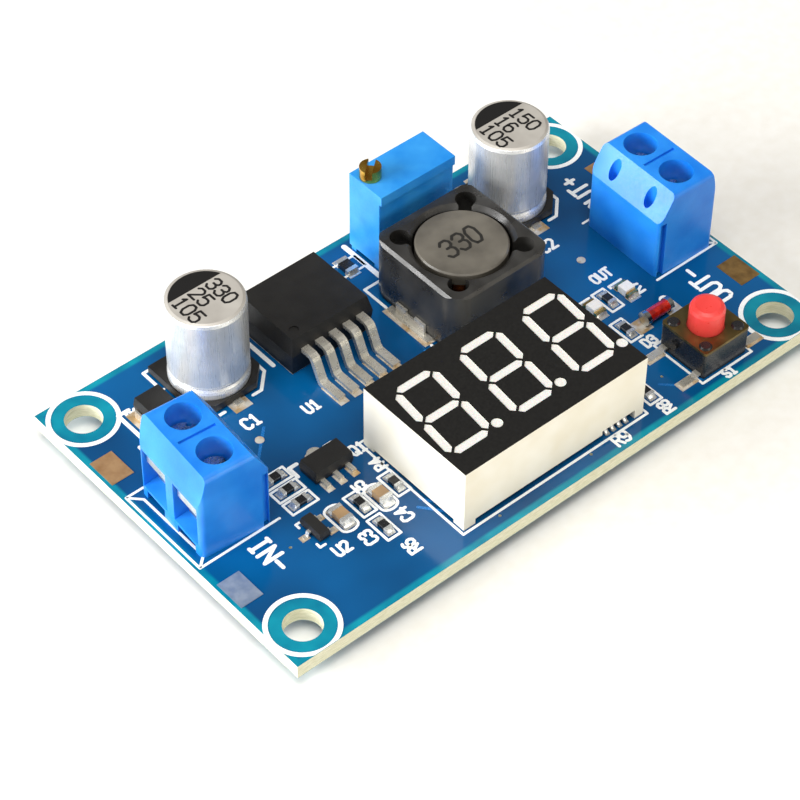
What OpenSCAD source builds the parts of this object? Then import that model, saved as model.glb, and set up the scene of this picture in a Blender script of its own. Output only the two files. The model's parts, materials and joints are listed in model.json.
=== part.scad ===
// Step-down converter module with a three-digit voltmeter.
// Millimetres. X runs from the input edge to the output edge, Y to the back, Z up.
// The origin is the middle of the mounting-hole pattern, on the board's underside.

/* [Board] */
// Length of the board, input edge to output edge
board_l = 66; // [66:0.5:90]
// Width of the board, front to back
board_w = 39; // [39:0.5:60]
// Thickness of the board
board_t = 1.6; // [1:0.1:2.4]
// Diameter of the four mounting holes
mount_hole_d = 3.7; // [2:0.1:4.2]
// Distance from a mounting hole's centre to both edges
mount_inset = 3.3; // [2.8:0.1:3.8]
// Thickness of the tinned copper pads
pad_t = 0.05; // [0.03:0.01:0.12]
// Length of the wire pads beside the terminals
wire_pad_l = 3.5; // [2:0.1:3.8]
// Width of the wire pads beside the terminals
wire_pad_w = 2.5; // [1.5:0.1:3]
// How far leads stand out under the board
lead_tail = 1.5; // [1:0.1:3]
// Radius of a solder cone on the underside
solder_r = 0.9; // [0.7:0.05:1]

/* [Screw terminals] */
// Spacing of the two poles
pole_pitch = 5.08; // [5:0.02:5.3]
// Width of a terminal housing along the poles
term_w = 10.16; // [9.9:0.02:11]
// Depth of a terminal housing, wire side to back
term_l = 7.6; // [7.4:0.1:8.4]
// Height of a terminal housing
term_h = 10.1; // [9.4:0.1:11]
// Height of the front visor's lower edge
visor_h = 6.2; // [5.7:0.1:6.4]
// Height of the shoulder at the back
shoulder_h = 7; // [6:0.1:7.6]
// How far the top is set back from the front
top_setback = 0.8; // [0.4:0.1:1]
// How far the top ends before the back
top_cutback = 1.8; // [1.2:0.1:2]
// Distance from the front to the screw axis
screw_setback = 3.45; // [3.3:0.05:3.6]
// Diameter of a screw well
well_d = 3.4; // [3.2:0.1:3.7]
// Width of a wire mouth
mouth_w = 3.9; // [3.8:0.05:4]
// Height of the housing's floor under a clamp frame
sill_h = 1.6; // [1.2:0.1:1.8]
// Width of the cut under each sill
under_w = 2.9; // [2:0.1:3.4]
// Diameter of the test holes in the back slope
probe_d = 1.2; // [0.8:0.1:1.4]
// Diameter of a screw head
screw_head_d = 3; // [2.6:0.1:3.1]
// Thickness of a screw head
screw_head_h = 0.9; // [0.7:0.05:1.2]
// Depth of a screw head below the housing's top
head_depth = 2.45; // [2.2:0.05:2.5]
// Diameter of a screw's shank
shank_d = 2.4; // [1.8:0.05:2.5]
// Width of a clamp frame
frame_w = 3.6; // [3.4:0.05:3.7]
// Depth of a clamp frame
frame_l = 4; // [3.6:0.1:4.2]
// Sheet thickness of a clamp frame
frame_t = 0.5; // [0.4:0.05:0.55]
// Thickness of the threaded top of a clamp frame
nut_t = 0.7; // [0.5:0.05:0.9]
// Sheet thickness of a wire guard
guard_t = 0.25; // [0.15:0.05:0.3]
// Gap between a wire guard's apron and the visor when it is screwed up
apron_gap = 0.1; // [0.05:0.05:0.4]
// How far a guard can be screwed down from its stored place
guard_down = 1.1; // [0.6:0.05:1.3]
// How far a guard can be screwed up from its stored place
guard_up = 0.15; // [0.1:0.05:0.4]
// How far the input terminal is set in from the board's edge
in_term_inset = 1.6; // [1:0.1:1.8]
// How far the output terminal is set in from the board's edge
out_term_inset = 0.9; // [0.8:0.1:1.6]
// Turn of the input terminal, which is soldered slightly askew
in_skew = -4.5; // [-5:0.5:0]
// Turn of the output terminal
out_skew = -1.5; // [-5:0.5:0]

/* [Display] */
// Length of the display
disp_l = 22.5; // [22.4:0.1:24]
// Width of the display
disp_w = 14; // [13.6:0.1:14.2]
// Height of the display above the board
disp_h = 7.5; // [7:0.1:9]
// Wall thickness of the display's case
disp_wall = 0.9; // [0.6:0.1:1]
// Height of the gap under the long walls
long_gap = 0.65; // [0.4:0.05:0.9]
// Height of the gap under the short walls
short_gap = 0.4; // [0.2:0.05:0.8]
// Length of a corner foot
foot_l = 1.4; // [0.8:0.1:1.8]
// Distance from the board's front edge to the display
disp_inset = 2.26; // [1.6:0.02:2.4]
// Height of a digit
digit_h = 9.8; // [9:0.1:10.4]
// Width of a digit between its outer strokes
digit_w = 5.3; // [4.8:0.1:5.7]
// Width of a segment stroke
stroke = 0.85; // [0.7:0.05:1.1]
// Gap between neighbouring segments
seg_gap = 0.2; // [0.1:0.02:0.3]
// Spacing of the digits
digit_pitch = 7.8; // [7.6:0.1:7.9]
// Diameter of a decimal point
point_d = 1.1; // [0.9:0.05:1.35]
// Slant of the digits, in degrees
slant = 6; // [0:1:8]
// Thickness of the light-emitting board inside
led_board_t = 0.8; // [0.4:0.1:1]
// Thickness of the potting under it
potting_t = 1.4; // [0.8:0.1:1.5]
// Height of the potting's underside above the board
potting_low = 1.7; // [1.4:0.1:1.9]

/* [Trimmer] */
// Length of the trimmer
trim_l = 9.5; // [9.2:0.1:9.8]
// Width of the trimmer
trim_w = 4.8; // [4.4:0.1:4.9]
// Height of the trimmer
trim_h = 9.8; // [9.4:0.1:11]
// Wall thickness of the trimmer's case
trim_wall = 0.7; // [0.5:0.05:0.75]
// Thickness of the trimmer's roof
trim_roof = 1.5; // [1:0.1:2]
// Diameter of the adjusting screw's head
adjust_d = 2.2; // [1.8:0.1:2.3]
// Height of the adjusting screw's head
adjust_h = 1.3; // [1:0.1:1.6]
// Diameter of the adjusting screw's shaft
adjust_shaft_d = 1.4; // [1.1:0.05:1.5]
// Number of teeth on the wiper gear
gear_teeth = 32; // [24:1:36]

/* [Inductor] */
// Side of the inductor
ind_w = 12.5; // [11.8:0.1:12.6]
// Height of the inductor
ind_h = 7.3; // [6:0.1:8.5]
// Corner radius of its shield
ind_r = 2; // [1:0.1:2.4]
// Diameter of the core's flanges
core_d = 9.2; // [8:0.1:9.3]
// Diameter of the shield's bore
shield_bore = 9.8; // [9.6:0.1:10]

/* [Capacitors] */
// Diameter of a capacitor's can
can_d = 8; // [6.3:0.1:8.1]
// Height of a capacitor over its base
can_h = 10.7; // [8:0.1:12]
// Side of the plastic base
cap_base_w = 8.3; // [8.2:0.1:8.4]
// Thickness of the plastic base
cap_base_t = 1; // [0.7:0.1:1.4]

/* [Regulator] */
// Width of the regulator's body
reg_w = 10; // [9.4:0.1:10.4]
// Length of the regulator's body
reg_l = 8.8; // [8:0.1:9]
// Height of the regulator's body
reg_h = 4.4; // [4:0.1:4.8]
// Spacing of the regulator's leads
reg_pitch = 1.7; // [1.5:0.05:1.9]
// Width of a regulator lead
reg_lead_w = 0.9; // [0.5:0.05:1]
// Reach of the leads beyond the body
reg_reach = 5.4; // [4.4:0.1:5.6]

/* [Push button] */
// Side of the switch body
sw_w = 6; // [5.6:0.1:6.2]
// Height of the switch body with its cover plate
sw_h = 3.4; // [3.2:0.1:3.8]
// Diameter of the red button
button_d = 3.5; // [2.8:0.1:3.6]
// Height of the button's top over the board
button_top = 6; // [4.8:0.1:9]
// Travel of the button
button_travel = 0.25; // [0.1:0.05:0.3]

/* [Fits] */
// Radial clearance of a screw in its hole
run_fit = 0.05; // [0.02:0.01:0.08]
// Gap between pieces that are pushed together
slip_fit = 0.05; // [0.02:0.01:0.08]

/* [Hidden] */

fine = 48;
small = 24;
eps = 0.01;
left = -board_l / 2;
right = board_l / 2;
front = -board_w / 2;
back = board_w / 2;
// Height of the board's top, and of the pads on it
top = board_t;
seat = board_t + pad_t;

// Screw terminal, measured from its front face and from the board's top
in_term_y = 0.15;
out_term_y = -0.05;
in_term_x = left + in_term_inset + term_l / 2;
out_term_x = right - out_term_inset - term_l / 2;
wall_round = 0.6;
cavity_w = frame_w + 2 * slip_fit;
frame_start = 1.5;
base_top = sill_h + frame_t;
screw_top = term_h - head_depth;
nut_top = screw_top - screw_head_h - guard_down - slip_fit;
nut_low = nut_top - nut_t;
guard_z = nut_low - guard_up - guard_t - slip_fit;
guard_front = 0.4;
guard_w = frame_w - 2 * frame_t - 0.2;
apron_w = mouth_w - 0.4;
apron_top = visor_h - guard_up - apron_gap;
side_groove = [0.7, 0.5];
side_groove_back = 0.25;
pin_w = 1;
pin_t = 0.8;
pin_hole_d = 1.5;

// Display, measured from its lower left corner and from the board's top
disp_x = -0.47;
disp_y = front + disp_inset + disp_w / 2;
led_board_top = potting_low + potting_t + led_board_t;
chip_notch = [4.2, 1.15];
disp_pins = 6;
disp_pin_row = 10.16;
disp_pin_pitch = 2.54;
disp_pin_w = 0.5;
disp_pin_hole = 0.9;
digit_shift = [0.1, 0.2];

// Trimmer
trim_x = 9.2;
trim_y = back - 1.5 - trim_w / 2;
trim_stand = 0.4;
trim_base_t = 0.8;
element_t = 0.5;
cap_step = 0.3;
adjust_x = -trim_l / 2 + 1.25;
adjust_y = 0.7;
gear_x = 0.6;
gear_z = trim_h / 2 + 0.1;
gear_r = gear_x - adjust_x - adjust_shaft_d / 2 - 0.15;
gear_t = 1.3;
gear_back = trim_w / 2 - trim_wall - slip_fit - element_t - 0.2;
axle_d = 1.6;
trim_pitch = 2.54;
trim_pin_w = 0.5;
trim_pin_hole = 0.9;

// Inductor
ind_x = 8.25;
// It takes its place by its share of the free room between the display and the trimmer
disp_back = disp_y + disp_w / 2;
trim_front = trim_y - trim_w / 2;
ind_share = 0.683;
ind_y = disp_back + ind_share * (trim_front - disp_back - ind_w) + ind_w / 2;
ind_bevel = 0.3;
bore_bevel = 0.5;
pocket_d = 2.1;
pocket_neck = 1.3;
pocket_depth = 3;
ind_base_t = 0.5;
ind_term_w = 6;
ind_term_t = 0.2;
ind_term_reach = 0.7;

// Capacitors
caps = [[-17.35, back - 6.7], [20.4, back - 7.1]];
can_low = cap_base_t - 0.3;

// Regulator
reg_x = -6.3;
reg_y = back - 7.4;
tab_t = 1.2;
reg_lead_t = 0.45;
lead_exit = 2.55;

// Push button
sw_x = right - 11.9;
sw_y = front + 4.6;
cover_t = 0.3;
sw_foot = 2.2;
flange_d = button_d + 0.7;
flange_t = 0.6;
sw_floor = 0.9;
dome_h = sw_h - cover_t - flange_t - sw_floor - 0.3;

// Small parts sit in the room between the display and a terminal housing. Their places are
// distances from the display's end, which shrink and grow with that room.
usual_room = [13.08, 14.72];
disp_end = [disp_x - disp_l / 2, disp_x + disp_l / 2];
room = [disp_end[0] - (in_term_x + term_l / 2 - 1), out_term_x - term_l / 2 + 1 - disp_end[1]];
function left_x(d) = disp_end[0] - d * room[0] / usual_room[0];
function right_x(d) = disp_end[1] + d * room[1] / usual_room[1];

// Chip places: [x, y, turn], from the board's middle
resistor_size = [1.6, 0.8, 0.45];
resistors = [
  [left_x(9.08), -1.3, 0], [left_x(9.08), -3.2, 0], [left_x(9.08), -5.05, 0],
  [left_x(5.08), -8.7, 90], [left_x(5.18), -12.2, 90], [left_x(1.03), -8.8, 90],
  [right_x(7.92), -4.2, 90], [right_x(6.42), -8.35, 90], [right_x(2.02), -15.5, 90]
];
sense_size = [2, 1.25, 0.5];
sense_resistor = [[2.2, back - 3.7, 90]];
array_place = [7.6, front + 3.5];
array_size = [3.2, 1.6, 0.5];
array_ways = 4;
ceramic_size = [2, 1.2, 0.8];
ceramics = [[left_x(3.08), -9.3, 90], [left_x(7.48), -8.9, 90]];
led_size = [2, 1.25, 0.8];
leds = [[right_x(10.12), -4.5, 90], [right_x(5.92), -4.4, 90]];
// Share of a chip's length taken by each metal end
end_share = 0.22;

// Small parts with leads
diode_place = [-24.1, 12.5];
diode_size = [3, 2.6, 1.8];
glass_place = [right_x(9.92), -8.9];
glass_l = 3.5;
glass_d = 1.5;
transistor_place = [left_x(4.48), -3.2];
transistor_size = [4.5, 2.5, 1.5];
supply_place = [left_x(10.28), -8.6];
supply_size = [1.3, 2.9, 1];
controller_place = [-4, disp_y];
controller_size = [6.5, 4.4, 0.9];
controller_leads_n = 10;
controller_pitch = 0.65;
test_pads = [[left_x(7.08), 3.4], [right_x(9.82), 1.6]];
test_pad_d = 0.9;
vias = [
  [-24.9, -8.6, 0.3], [15.5, -15, 0.3], [-1.5, -1.2, 0.3],
  [-0.6, 0.6, 0.3], [0.2, -2.3, 0.3], [-8, -18, 0.3], [3.5, -17.9, 0.3], [25, -1.5, 0.3]
];

// ---------------------------------------------------------------- helpers

module box(size, low = [0, 0, 0]) {
  // A cuboid centred in X and Y on low, standing on it
  translate([low[0] - size[0] / 2, low[1] - size[1] / 2, low[2]]) cube(size);
}

module rounded_rect(size, r) {
  // A rectangle with round corners, centred
  difference() {
    square(size, center = true);
    for (sx = [-1, 1], sy = [-1, 1]) {
      translate([sx * (size[0] / 2 - r), sy * (size[1] / 2 - r)])
        difference() {
          translate([sx * r / 2 + sx * eps / 2, sy * r / 2 + sy * eps / 2])
            square(r + eps, center = true);
          circle(r, $fn = small);
        }
    }
  }
}

module at_chip(place) {
  translate([place[0], place[1], 0]) rotate([0, 0, place[2]]) children();
}

// ---------------------------------------------------------------- board

module at_in_terminal() {
  translate([in_term_x, in_term_y, top]) rotate([0, 0, in_skew]) translate([-term_l / 2, 0, 0]) children();
}

module at_out_terminal() {
  translate([out_term_x, out_term_y, top]) rotate([0, 0, 180 + out_skew])
    translate([-term_l / 2, 0, 0]) children();
}

module at_mounts() {
  for (sx = [-1, 1], sy = [-1, 1])
    translate([sx * (board_l / 2 - mount_inset), sy * (board_w / 2 - mount_inset), 0]) children();
}

module at_poles() {
  for (side = [-1, 1]) translate([screw_setback, side * pole_pitch / 2, 0]) children();
}

module at_display_pins() {
  // One of the twelve places is left empty, as on every such display
  for (row = [0, 1], i = [0 : disp_pins - 1])
    if (row == 0 || i > 0)
      translate([disp_x + (i - (disp_pins - 1) / 2) * disp_pin_pitch,
                 disp_y + (row - 0.5) * disp_pin_row, 0]) children();
}

module at_trimmer_pins() {
  for (i = [-1 : 1]) translate([trim_x + i * trim_pitch, trim_y + 1, 0]) children();
}

module lead_hole(d) {
  translate([0, 0, -1]) cylinder(h = board_t + 2, d = d, $fn = small);
}

module circuit_board() {
  color("#0a5ea8")
  difference() {
    box([board_l, board_w, board_t]);
    at_mounts() translate([0, 0, -1]) cylinder(h = board_t + 2, d = mount_hole_d, $fn = fine);
    at_in_terminal() translate([0, 0, -top]) at_poles() lead_hole(pin_hole_d);
    at_out_terminal() translate([0, 0, -top]) at_poles() lead_hole(pin_hole_d);
    at_display_pins() lead_hole(disp_pin_hole);
    at_trimmer_pins() lead_hole(trim_pin_hole);
    for (v = vias) translate([v[0], v[1], 0]) lead_hole(v[2]);
  }
}

module pad(size, low) {
  box([size[0], size[1], pad_t], [low[0], low[1], top]);
}

module chip_pads(places, size) {
  for (place = places) at_chip(place)
    for (side = [-1, 1])
      pad([size[0] * 0.45, size[1] * 1.1], [side * size[0] / 2, 0]);
}

module copper_pads() {
  color("#c9ab84") {
    wire_pad_y = board_w / 2 - mount_inset - 6.7;
    for (sx = [-1, 1], sy = [-1, 1])
      pad([wire_pad_w, wire_pad_l], [sx * (board_l / 2 - wire_pad_w / 2 - 0.35), sy * wire_pad_y]);
    chip_pads(resistors, resistor_size);
    chip_pads(sense_resistor, sense_size);
    chip_pads(ceramics, ceramic_size);
    chip_pads(leds, led_size);
    for (i = [0 : array_ways - 1], side = [-1, 1])
      pad([0.45, 0.6], [array_place[0] + (i - (array_ways - 1) / 2) * array_size[0] / array_ways,
                        array_place[1] + side * array_size[1] / 2]);
    for (place = test_pads) translate([place[0], place[1], top])
      cylinder(h = pad_t, d = test_pad_d, $fn = small);
    for (c = caps, side = [-1, 1]) pad([2, 3.6], [c[0], c[1] + side * 3.6]);
    for (side = [-1, 1])
      pad([ind_term_reach + 1.9, ind_term_w + 0.4],
          [ind_x + side * (ind_w / 2 - 0.2), ind_y]);
    for (i = [-2 : 2]) pad([1.05, 3], [reg_x + i * reg_pitch, reg_y - reg_l / 2 - reg_reach + 1]);
    pad([reg_w - 0.4, reg_l + 1], [reg_x, reg_y + 0.8]);
    for (side = [-1, 1]) pad([1.4, 2.8], [diode_place[0] + side * 1.7, diode_place[1]]);
    for (side = [-1, 1]) pad([1.7, 1.8], [glass_place[0] + side * 2, glass_place[1]]);
    for (i = [-1 : 1])
      pad([0.8, 1.4], [transistor_place[0] + i * 1.5, transistor_place[1] - transistor_size[1] / 2 - 0.7]);
    translate([transistor_place[0], transistor_place[1] + transistor_size[1] / 2, top])
      cylinder(h = pad_t, d = 2.5, $fn = small);
    for (y = [-0.95, 0.95]) pad([0.9, 0.7], [supply_place[0] + 1.25, supply_place[1] + y]);
    pad([0.9, 0.7], [supply_place[0] - 1.25, supply_place[1]]);
    for (i = [0 : controller_leads_n - 1], side = [-1, 1])
      pad([0.35, 1.3], [controller_place[0] + (i - (controller_leads_n - 1) / 2) * controller_pitch,
                        controller_place[1] + side * 3]);
    for (sx = [-1, 1], sy = [-1, 1])
      pad([2.2, 1.2], [sw_x + sx * (sw_w / 2 + 1.4), sw_y + sy * 2.25]);
  }
}

module solder_cone(w, t) {
  // A cone of solder round a flat lead, on the underside
  difference() {
    rotate_extrude($fn = small)
      polygon([[0, 0], [solder_r, 0], [solder_r * 0.6, -0.45], [max(w, t) * 0.62, -1.1], [0, -1.1]]);
    box([w, t, 4], [0, 0, -3]);
  }
}

module solder_joints() {
  color("#c8cccf") {
    at_in_terminal() translate([0, 0, -top]) at_poles() solder_cone(pin_t, pin_w);
    at_out_terminal() translate([0, 0, -top]) at_poles() solder_cone(pin_t, pin_w);
    at_display_pins() solder_cone(disp_pin_w, disp_pin_w / 2);
    at_trimmer_pins() solder_cone(trim_pin_w, trim_pin_w / 2);
  }
}

// ---------------------------------------------------------------- screw terminals

module terminal_profile() {
  polygon([
    [0, 0], [0, visor_h + 0.4], [top_setback, term_h],
    [term_l - top_cutback, term_h], [term_l, shoulder_h], [term_l, 0]
  ]);
}

module terminal_outline() {
  // The side profile, with its ends and its upper edges rounded
  intersection() {
    translate([0, term_w / 2, 0]) rotate([90, 0, 0]) linear_extrude(term_w) terminal_profile();
    translate([term_l / 2, 0, 0]) linear_extrude(term_h) rounded_rect([term_l, term_w], wall_round);
    translate([-eps, 0, 0]) rotate([90, 0, 90]) linear_extrude(term_l + 2 * eps)
      rounded_rect([term_w, 2 * term_h], wall_round);
  }
}

module wire_way() {
  // The mouth under the visor, with its sloping sill, and the cut under the sill
  translate([0, mouth_w / 2, 0]) rotate([90, 0, 0]) linear_extrude(mouth_w)
    polygon([
      [-1, sill_h - 0.3], [0, sill_h - 0.3], [frame_start, sill_h], [frame_start, visor_h], [-1, visor_h]
    ]);
  box([4, under_w, sill_h - 0.6 + eps], [0, 0, -eps]);
}

module terminal_housing() {
  slope_mid = term_l - top_cutback / 2;
  difference() {
    terminal_outline();
    for (side = [-1, 1]) translate([0, side * pole_pitch / 2, 0]) {
      wire_way();
      translate([frame_start - eps, -cavity_w / 2, sill_h])
        cube([frame_l + slip_fit + eps, cavity_w, nut_top + slip_fit - sill_h]);
      translate([screw_setback, 0, nut_top]) cylinder(h = term_h, d = well_d, $fn = fine);
      box([pin_t, pin_w, term_h], [screw_setback, 0, -1]);
      translate([slope_mid, 0, nut_top + 1]) cylinder(h = term_h, d = probe_d, $fn = small);
    }
    for (side = [-1, 1])
      box([side_groove[0], 2 * side_groove[1], shoulder_h],
          [term_l - side_groove_back - side_groove[0] / 2, side * term_w / 2, -0.1]);
    box([term_l - top_cutback - top_setback - 1, 0.35, 1],
        [(term_l - top_cutback + top_setback) / 2, 0, term_h - 0.3]);
  }
}

module clamp_frame() {
  // A bent frame: a base on the solder pin, two cheeks and a threaded top
  difference() {
    translate([frame_start, -frame_w / 2, sill_h]) cube([frame_l, frame_w, nut_top - sill_h]);
    translate([frame_start - 1, -frame_w / 2 + frame_t, base_top])
      cube([frame_l + 2, frame_w - 2 * frame_t, nut_low - base_top]);
    translate([screw_setback, 0, nut_low - 1])
      cylinder(h = nut_t + 2, d = shank_d + 2 * run_fit, $fn = fine);
  }
  box([pin_t, pin_w, sill_h + top + lead_tail], [screw_setback, 0, -top - lead_tail]);
}

module clamp_frames() {
  for (side = [-1, 1]) translate([0, side * pole_pitch / 2, 0]) clamp_frame();
}

module wire_guard() {
  // A bent leaf: an apron behind the mouth and a tongue under the screw
  tongue_l = screw_setback + shank_d / 2 + 0.6 - guard_front;
  translate([guard_front, -guard_w / 2, guard_z]) cube([tongue_l, guard_w, guard_t]);
  translate([guard_front, -apron_w / 2, guard_z]) cube([guard_t, apron_w, apron_top - guard_z]);
}

module terminal_screw() {
  tip = guard_z + guard_t + 0.02;
  difference() {
    union() {
      translate([0, 0, tip + 0.3]) cylinder(h = screw_top - screw_head_h - tip - 0.3, d = shank_d, $fn = fine);
      translate([0, 0, tip]) cylinder(h = 0.3 + eps, d = shank_d - 0.5, $fn = fine);
      translate([0, 0, screw_top - screw_head_h]) cylinder(h = screw_head_h, d = screw_head_d, $fn = fine);
    }
    box([screw_head_d + 1, 0.55, 1], [0, 0, screw_top - 0.5]);
  }
}

module at_pole(side) {
  translate([screw_setback, side * pole_pitch / 2, 0]) children();
}

module in_terminal_housing() { color("#1479e0") at_in_terminal() terminal_housing(); }
module out_terminal_housing() { color("#1479e0") at_out_terminal() terminal_housing(); }
module in_clamp_frames() { color("#cfd2d4") at_in_terminal() clamp_frames(); }
module out_clamp_frames() { color("#cfd2d4") at_out_terminal() clamp_frames(); }

module guard_at(side) {
  color("#e4e6e6") translate([0, side * pole_pitch / 2, 0]) wire_guard();
}

module screw_at(side, turn) {
  color("#b9bdc0") at_pole(side) rotate([0, 0, turn]) terminal_screw();
}

// On the output side the terminal is turned round, so its first pole is the back one
module in_plus_guard() { at_in_terminal() guard_at(1); }
module in_minus_guard() { at_in_terminal() guard_at(-1); }
module out_plus_guard() { at_out_terminal() guard_at(-1); }
module out_minus_guard() { at_out_terminal() guard_at(1); }
module in_plus_screw() { at_in_terminal() screw_at(1, 38); }
module in_minus_screw() { at_in_terminal() screw_at(-1, 12); }
module out_plus_screw() { at_out_terminal() screw_at(-1, 70); }
module out_minus_screw() { at_out_terminal() screw_at(1, 25); }

// ---------------------------------------------------------------- display

module segment(length) {
  // One bar with pointed ends, along X
  h = stroke / 2;
  l = length / 2;
  polygon([[-l, 0], [-l + h, h], [l - h, h], [l, 0], [l - h, -h], [-l + h, -h]]);
}

module digit() {
  // Seven bars round two squares, slanted, with a decimal point
  bar = digit_w - stroke;
  rise = (digit_h - stroke) / 2;
  multmatrix([[1, tan(slant), 0, 0], [0, 1, 0, 0], [0, 0, 1, 0]]) {
    for (k = [-1, 0, 1]) translate([0, k * rise]) segment(bar - 2 * seg_gap);
    for (sx = [-1, 1], k = [-0.5, 0.5])
      translate([sx * bar / 2, k * rise]) rotate(90) segment(rise - 2 * seg_gap);
  }
  translate([digit_w / 2 + 0.2, -(digit_h - stroke) / 2 + 0.2]) circle(d = point_d, $fn = small);
}

module all_digits() {
  for (i = [-1 : 1]) translate([i * digit_pitch, 0] + digit_shift) digit();
}

module at_display() {
  translate([disp_x, disp_y, top]) children();
}

module display_case() {
  inner_l = disp_l - 2 * disp_wall;
  inner_w = disp_w - 2 * disp_wall;
  color("#f1efe6") at_display()
  difference() {
    box([disp_l, disp_w, disp_h]);
    box([inner_l, inner_w, led_board_top + 1], [0, 0, -1]);
    box([disp_l - 2 * foot_l, disp_w + 2, long_gap + 1], [0, 0, -1]);
    box([disp_l + 2, disp_w - 2 * foot_l, short_gap + 1], [0, 0, -1]);
    box([chip_notch[0], 4, chip_notch[1] + 1], [array_place[0] - disp_x, -disp_w / 2, -1]);
    translate([0, 0, led_board_top - eps]) linear_extrude(disp_h) all_digits();
  }
}

module display_segments() {
  color("#d9d9d6") at_display()
    translate([0, 0, led_board_top]) linear_extrude(disp_h - led_board_top - 0.04) all_digits();
}

module display_led_board() {
  color("#1d6b3a") at_display()
    box([disp_l - 2 * disp_wall, disp_w - 2 * disp_wall, led_board_t], [0, 0, led_board_top - led_board_t]);
}

module display_potting() {
  color("#d8d2bd")
  difference() {
    at_display() box([disp_l - 2 * disp_wall, disp_w - 2 * disp_wall, potting_t],
                     [0, 0, led_board_top - led_board_t - potting_t]);
    at_display_pins() box([disp_pin_w, disp_pin_w / 2, 9]);
  }
}

module display_pins() {
  color("#c9ccce")
    at_display_pins() box([disp_pin_w, disp_pin_w / 2, lead_tail + top + led_board_top - led_board_t],
                          [0, 0, -lead_tail]);
}

// ---------------------------------------------------------------- trimmer

module at_trimmer() {
  translate([trim_x, trim_y, top]) children();
}

module trimmer_case() {
  inner = [trim_l - 2 * trim_wall, trim_w - 2 * trim_wall];
  color("#1c8ff0") at_trimmer() {
    difference() {
      box([trim_l, trim_w, trim_h - trim_stand], [0, 0, trim_stand]);
      box([inner[0], inner[1], trim_h - trim_roof], [0, 0, 0]);
      translate([adjust_x, adjust_y, 0])
        cylinder(h = trim_h + 1, d = adjust_shaft_d + 2 * run_fit, $fn = fine);
      translate([-trim_l / 2 - 1, -trim_w / 2 - 1, -1]) cube([trim_l + 2, 1 + cap_step, trim_h - 0.1]);
    }
    for (sx = [-1, 1], sy = [-1, 1])
      box([0.8, 0.7, trim_stand], [sx * (trim_l / 2 - 0.4), sy * (trim_w / 2 - 0.65), 0]);
    translate([gear_x, trim_w / 2 - trim_wall + eps, gear_z]) rotate([90, 0, 0])
      cylinder(h = trim_w / 2 - trim_wall - gear_back + gear_t + 0.15, d = axle_d, $fn = small);
  }
}

module trimmer_base() {
  color("#e8e6df")
  difference() {
    at_trimmer() box([trim_l - 2 * trim_wall, trim_w - 2 * trim_wall, trim_base_t], [0, 0, trim_stand]);
    at_trimmer_pins() box([trim_pin_w, trim_pin_w / 2, 9]);
  }
}

module trimmer_screw() {
  color("#d9a441") at_trimmer() translate([adjust_x, adjust_y, 0])
  difference() {
    union() {
      translate([0, 0, trim_h + 0.05]) cylinder(h = adjust_h, d = adjust_d, $fn = fine);
      translate([0, 0, trim_stand + trim_base_t + 0.3])
        cylinder(h = trim_h - trim_stand - trim_base_t - 0.2, d = adjust_shaft_d, $fn = fine);
    }
    rotate([0, 0, 40]) box([adjust_d + 1, 0.7, 1], [0, 0, trim_h + 0.05 + adjust_h - 0.9]);
  }
}

module gear_outline() {
  step = 360 / gear_teeth;
  root = gear_r - 0.35;
  polygon([
    for (i = [0 : gear_teeth - 1], p = [[root, 0], [gear_r, 0.22], [gear_r, 0.5], [root, 0.72]])
      p[0] * [cos((i + p[1]) * step), sin((i + p[1]) * step)]
  ]);
}

module trimmer_gear() {
  color("#f4f1e4") at_trimmer()
  translate([gear_x, gear_back, gear_z]) rotate([90, 0, 0])
  difference() {
    linear_extrude(gear_t) gear_outline();
    translate([0, 0, -1]) cylinder(h = gear_t + 2, d = axle_d + 2 * run_fit, $fn = small);
  }
}

module trimmer_element() {
  // The resistive plate on the wall behind the gear, pierced by the axle
  color("#f3f3ef") at_trimmer()
  difference() {
    translate([gear_x - gear_r + 0.2, trim_w / 2 - trim_wall - slip_fit - element_t, trim_stand + trim_base_t])
      cube([2 * gear_r - 0.4, element_t, trim_h - trim_roof - trim_stand - trim_base_t - slip_fit]);
    translate([gear_x, trim_w / 2, gear_z]) rotate([90, 0, 0])
      cylinder(h = trim_w, d = axle_d + 2 * run_fit, $fn = small);
  }
}

module trimmer_pins() {
  color("#c9ccce")
    at_trimmer_pins()
      box([trim_pin_w, trim_pin_w / 2, lead_tail + top + trim_stand + trim_base_t], [0, 0, -lead_tail]);
}

// ---------------------------------------------------------------- inductor

module at_inductor() {
  translate([ind_x, ind_y, seat]) children();
}

module bevelled_block(high) {
  // A block with its two upper edges along X cut off
  w = ind_w / 2 + eps;
  translate([-w, 0, 0]) rotate([90, 0, 90]) linear_extrude(2 * w)
    polygon([
      [-w, 0], [-w, high - ind_bevel], [-w + ind_bevel, high],
      [w - ind_bevel, high], [w, high - ind_bevel], [w, 0]
    ]);
}

module inductor_shield() {
  // A square sleeve round the core, with a wire pocket in each corner
  low = ind_term_t + ind_base_t;
  high = ind_h - pad_t;
  pocket_x = (shield_bore + pocket_d) / 2;
  color("#4a4c4b") at_inductor()
  difference() {
    intersection() {
      translate([0, 0, low]) linear_extrude(high - low) rounded_rect([ind_w, ind_w], ind_r);
      bevelled_block(high);
      rotate([0, 0, 90]) bevelled_block(high);
    }
    cylinder(h = ind_h + 1, d = shield_bore, $fn = fine);
    translate([0, 0, high - bore_bevel])
      cylinder(h = bore_bevel + eps, d1 = shield_bore, d2 = shield_bore + 2 * bore_bevel, $fn = fine);
    for (a = [45 : 90 : 315]) rotate([0, 0, a]) translate([0, 0, ind_h - pocket_depth]) {
      translate([pocket_x, 0, 0]) cylinder(h = 4, d = pocket_d, $fn = small);
      translate([pocket_x - pocket_d, -pocket_neck / 2, 0]) cube([pocket_d, pocket_neck, 4]);
    }
  }
}

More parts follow.
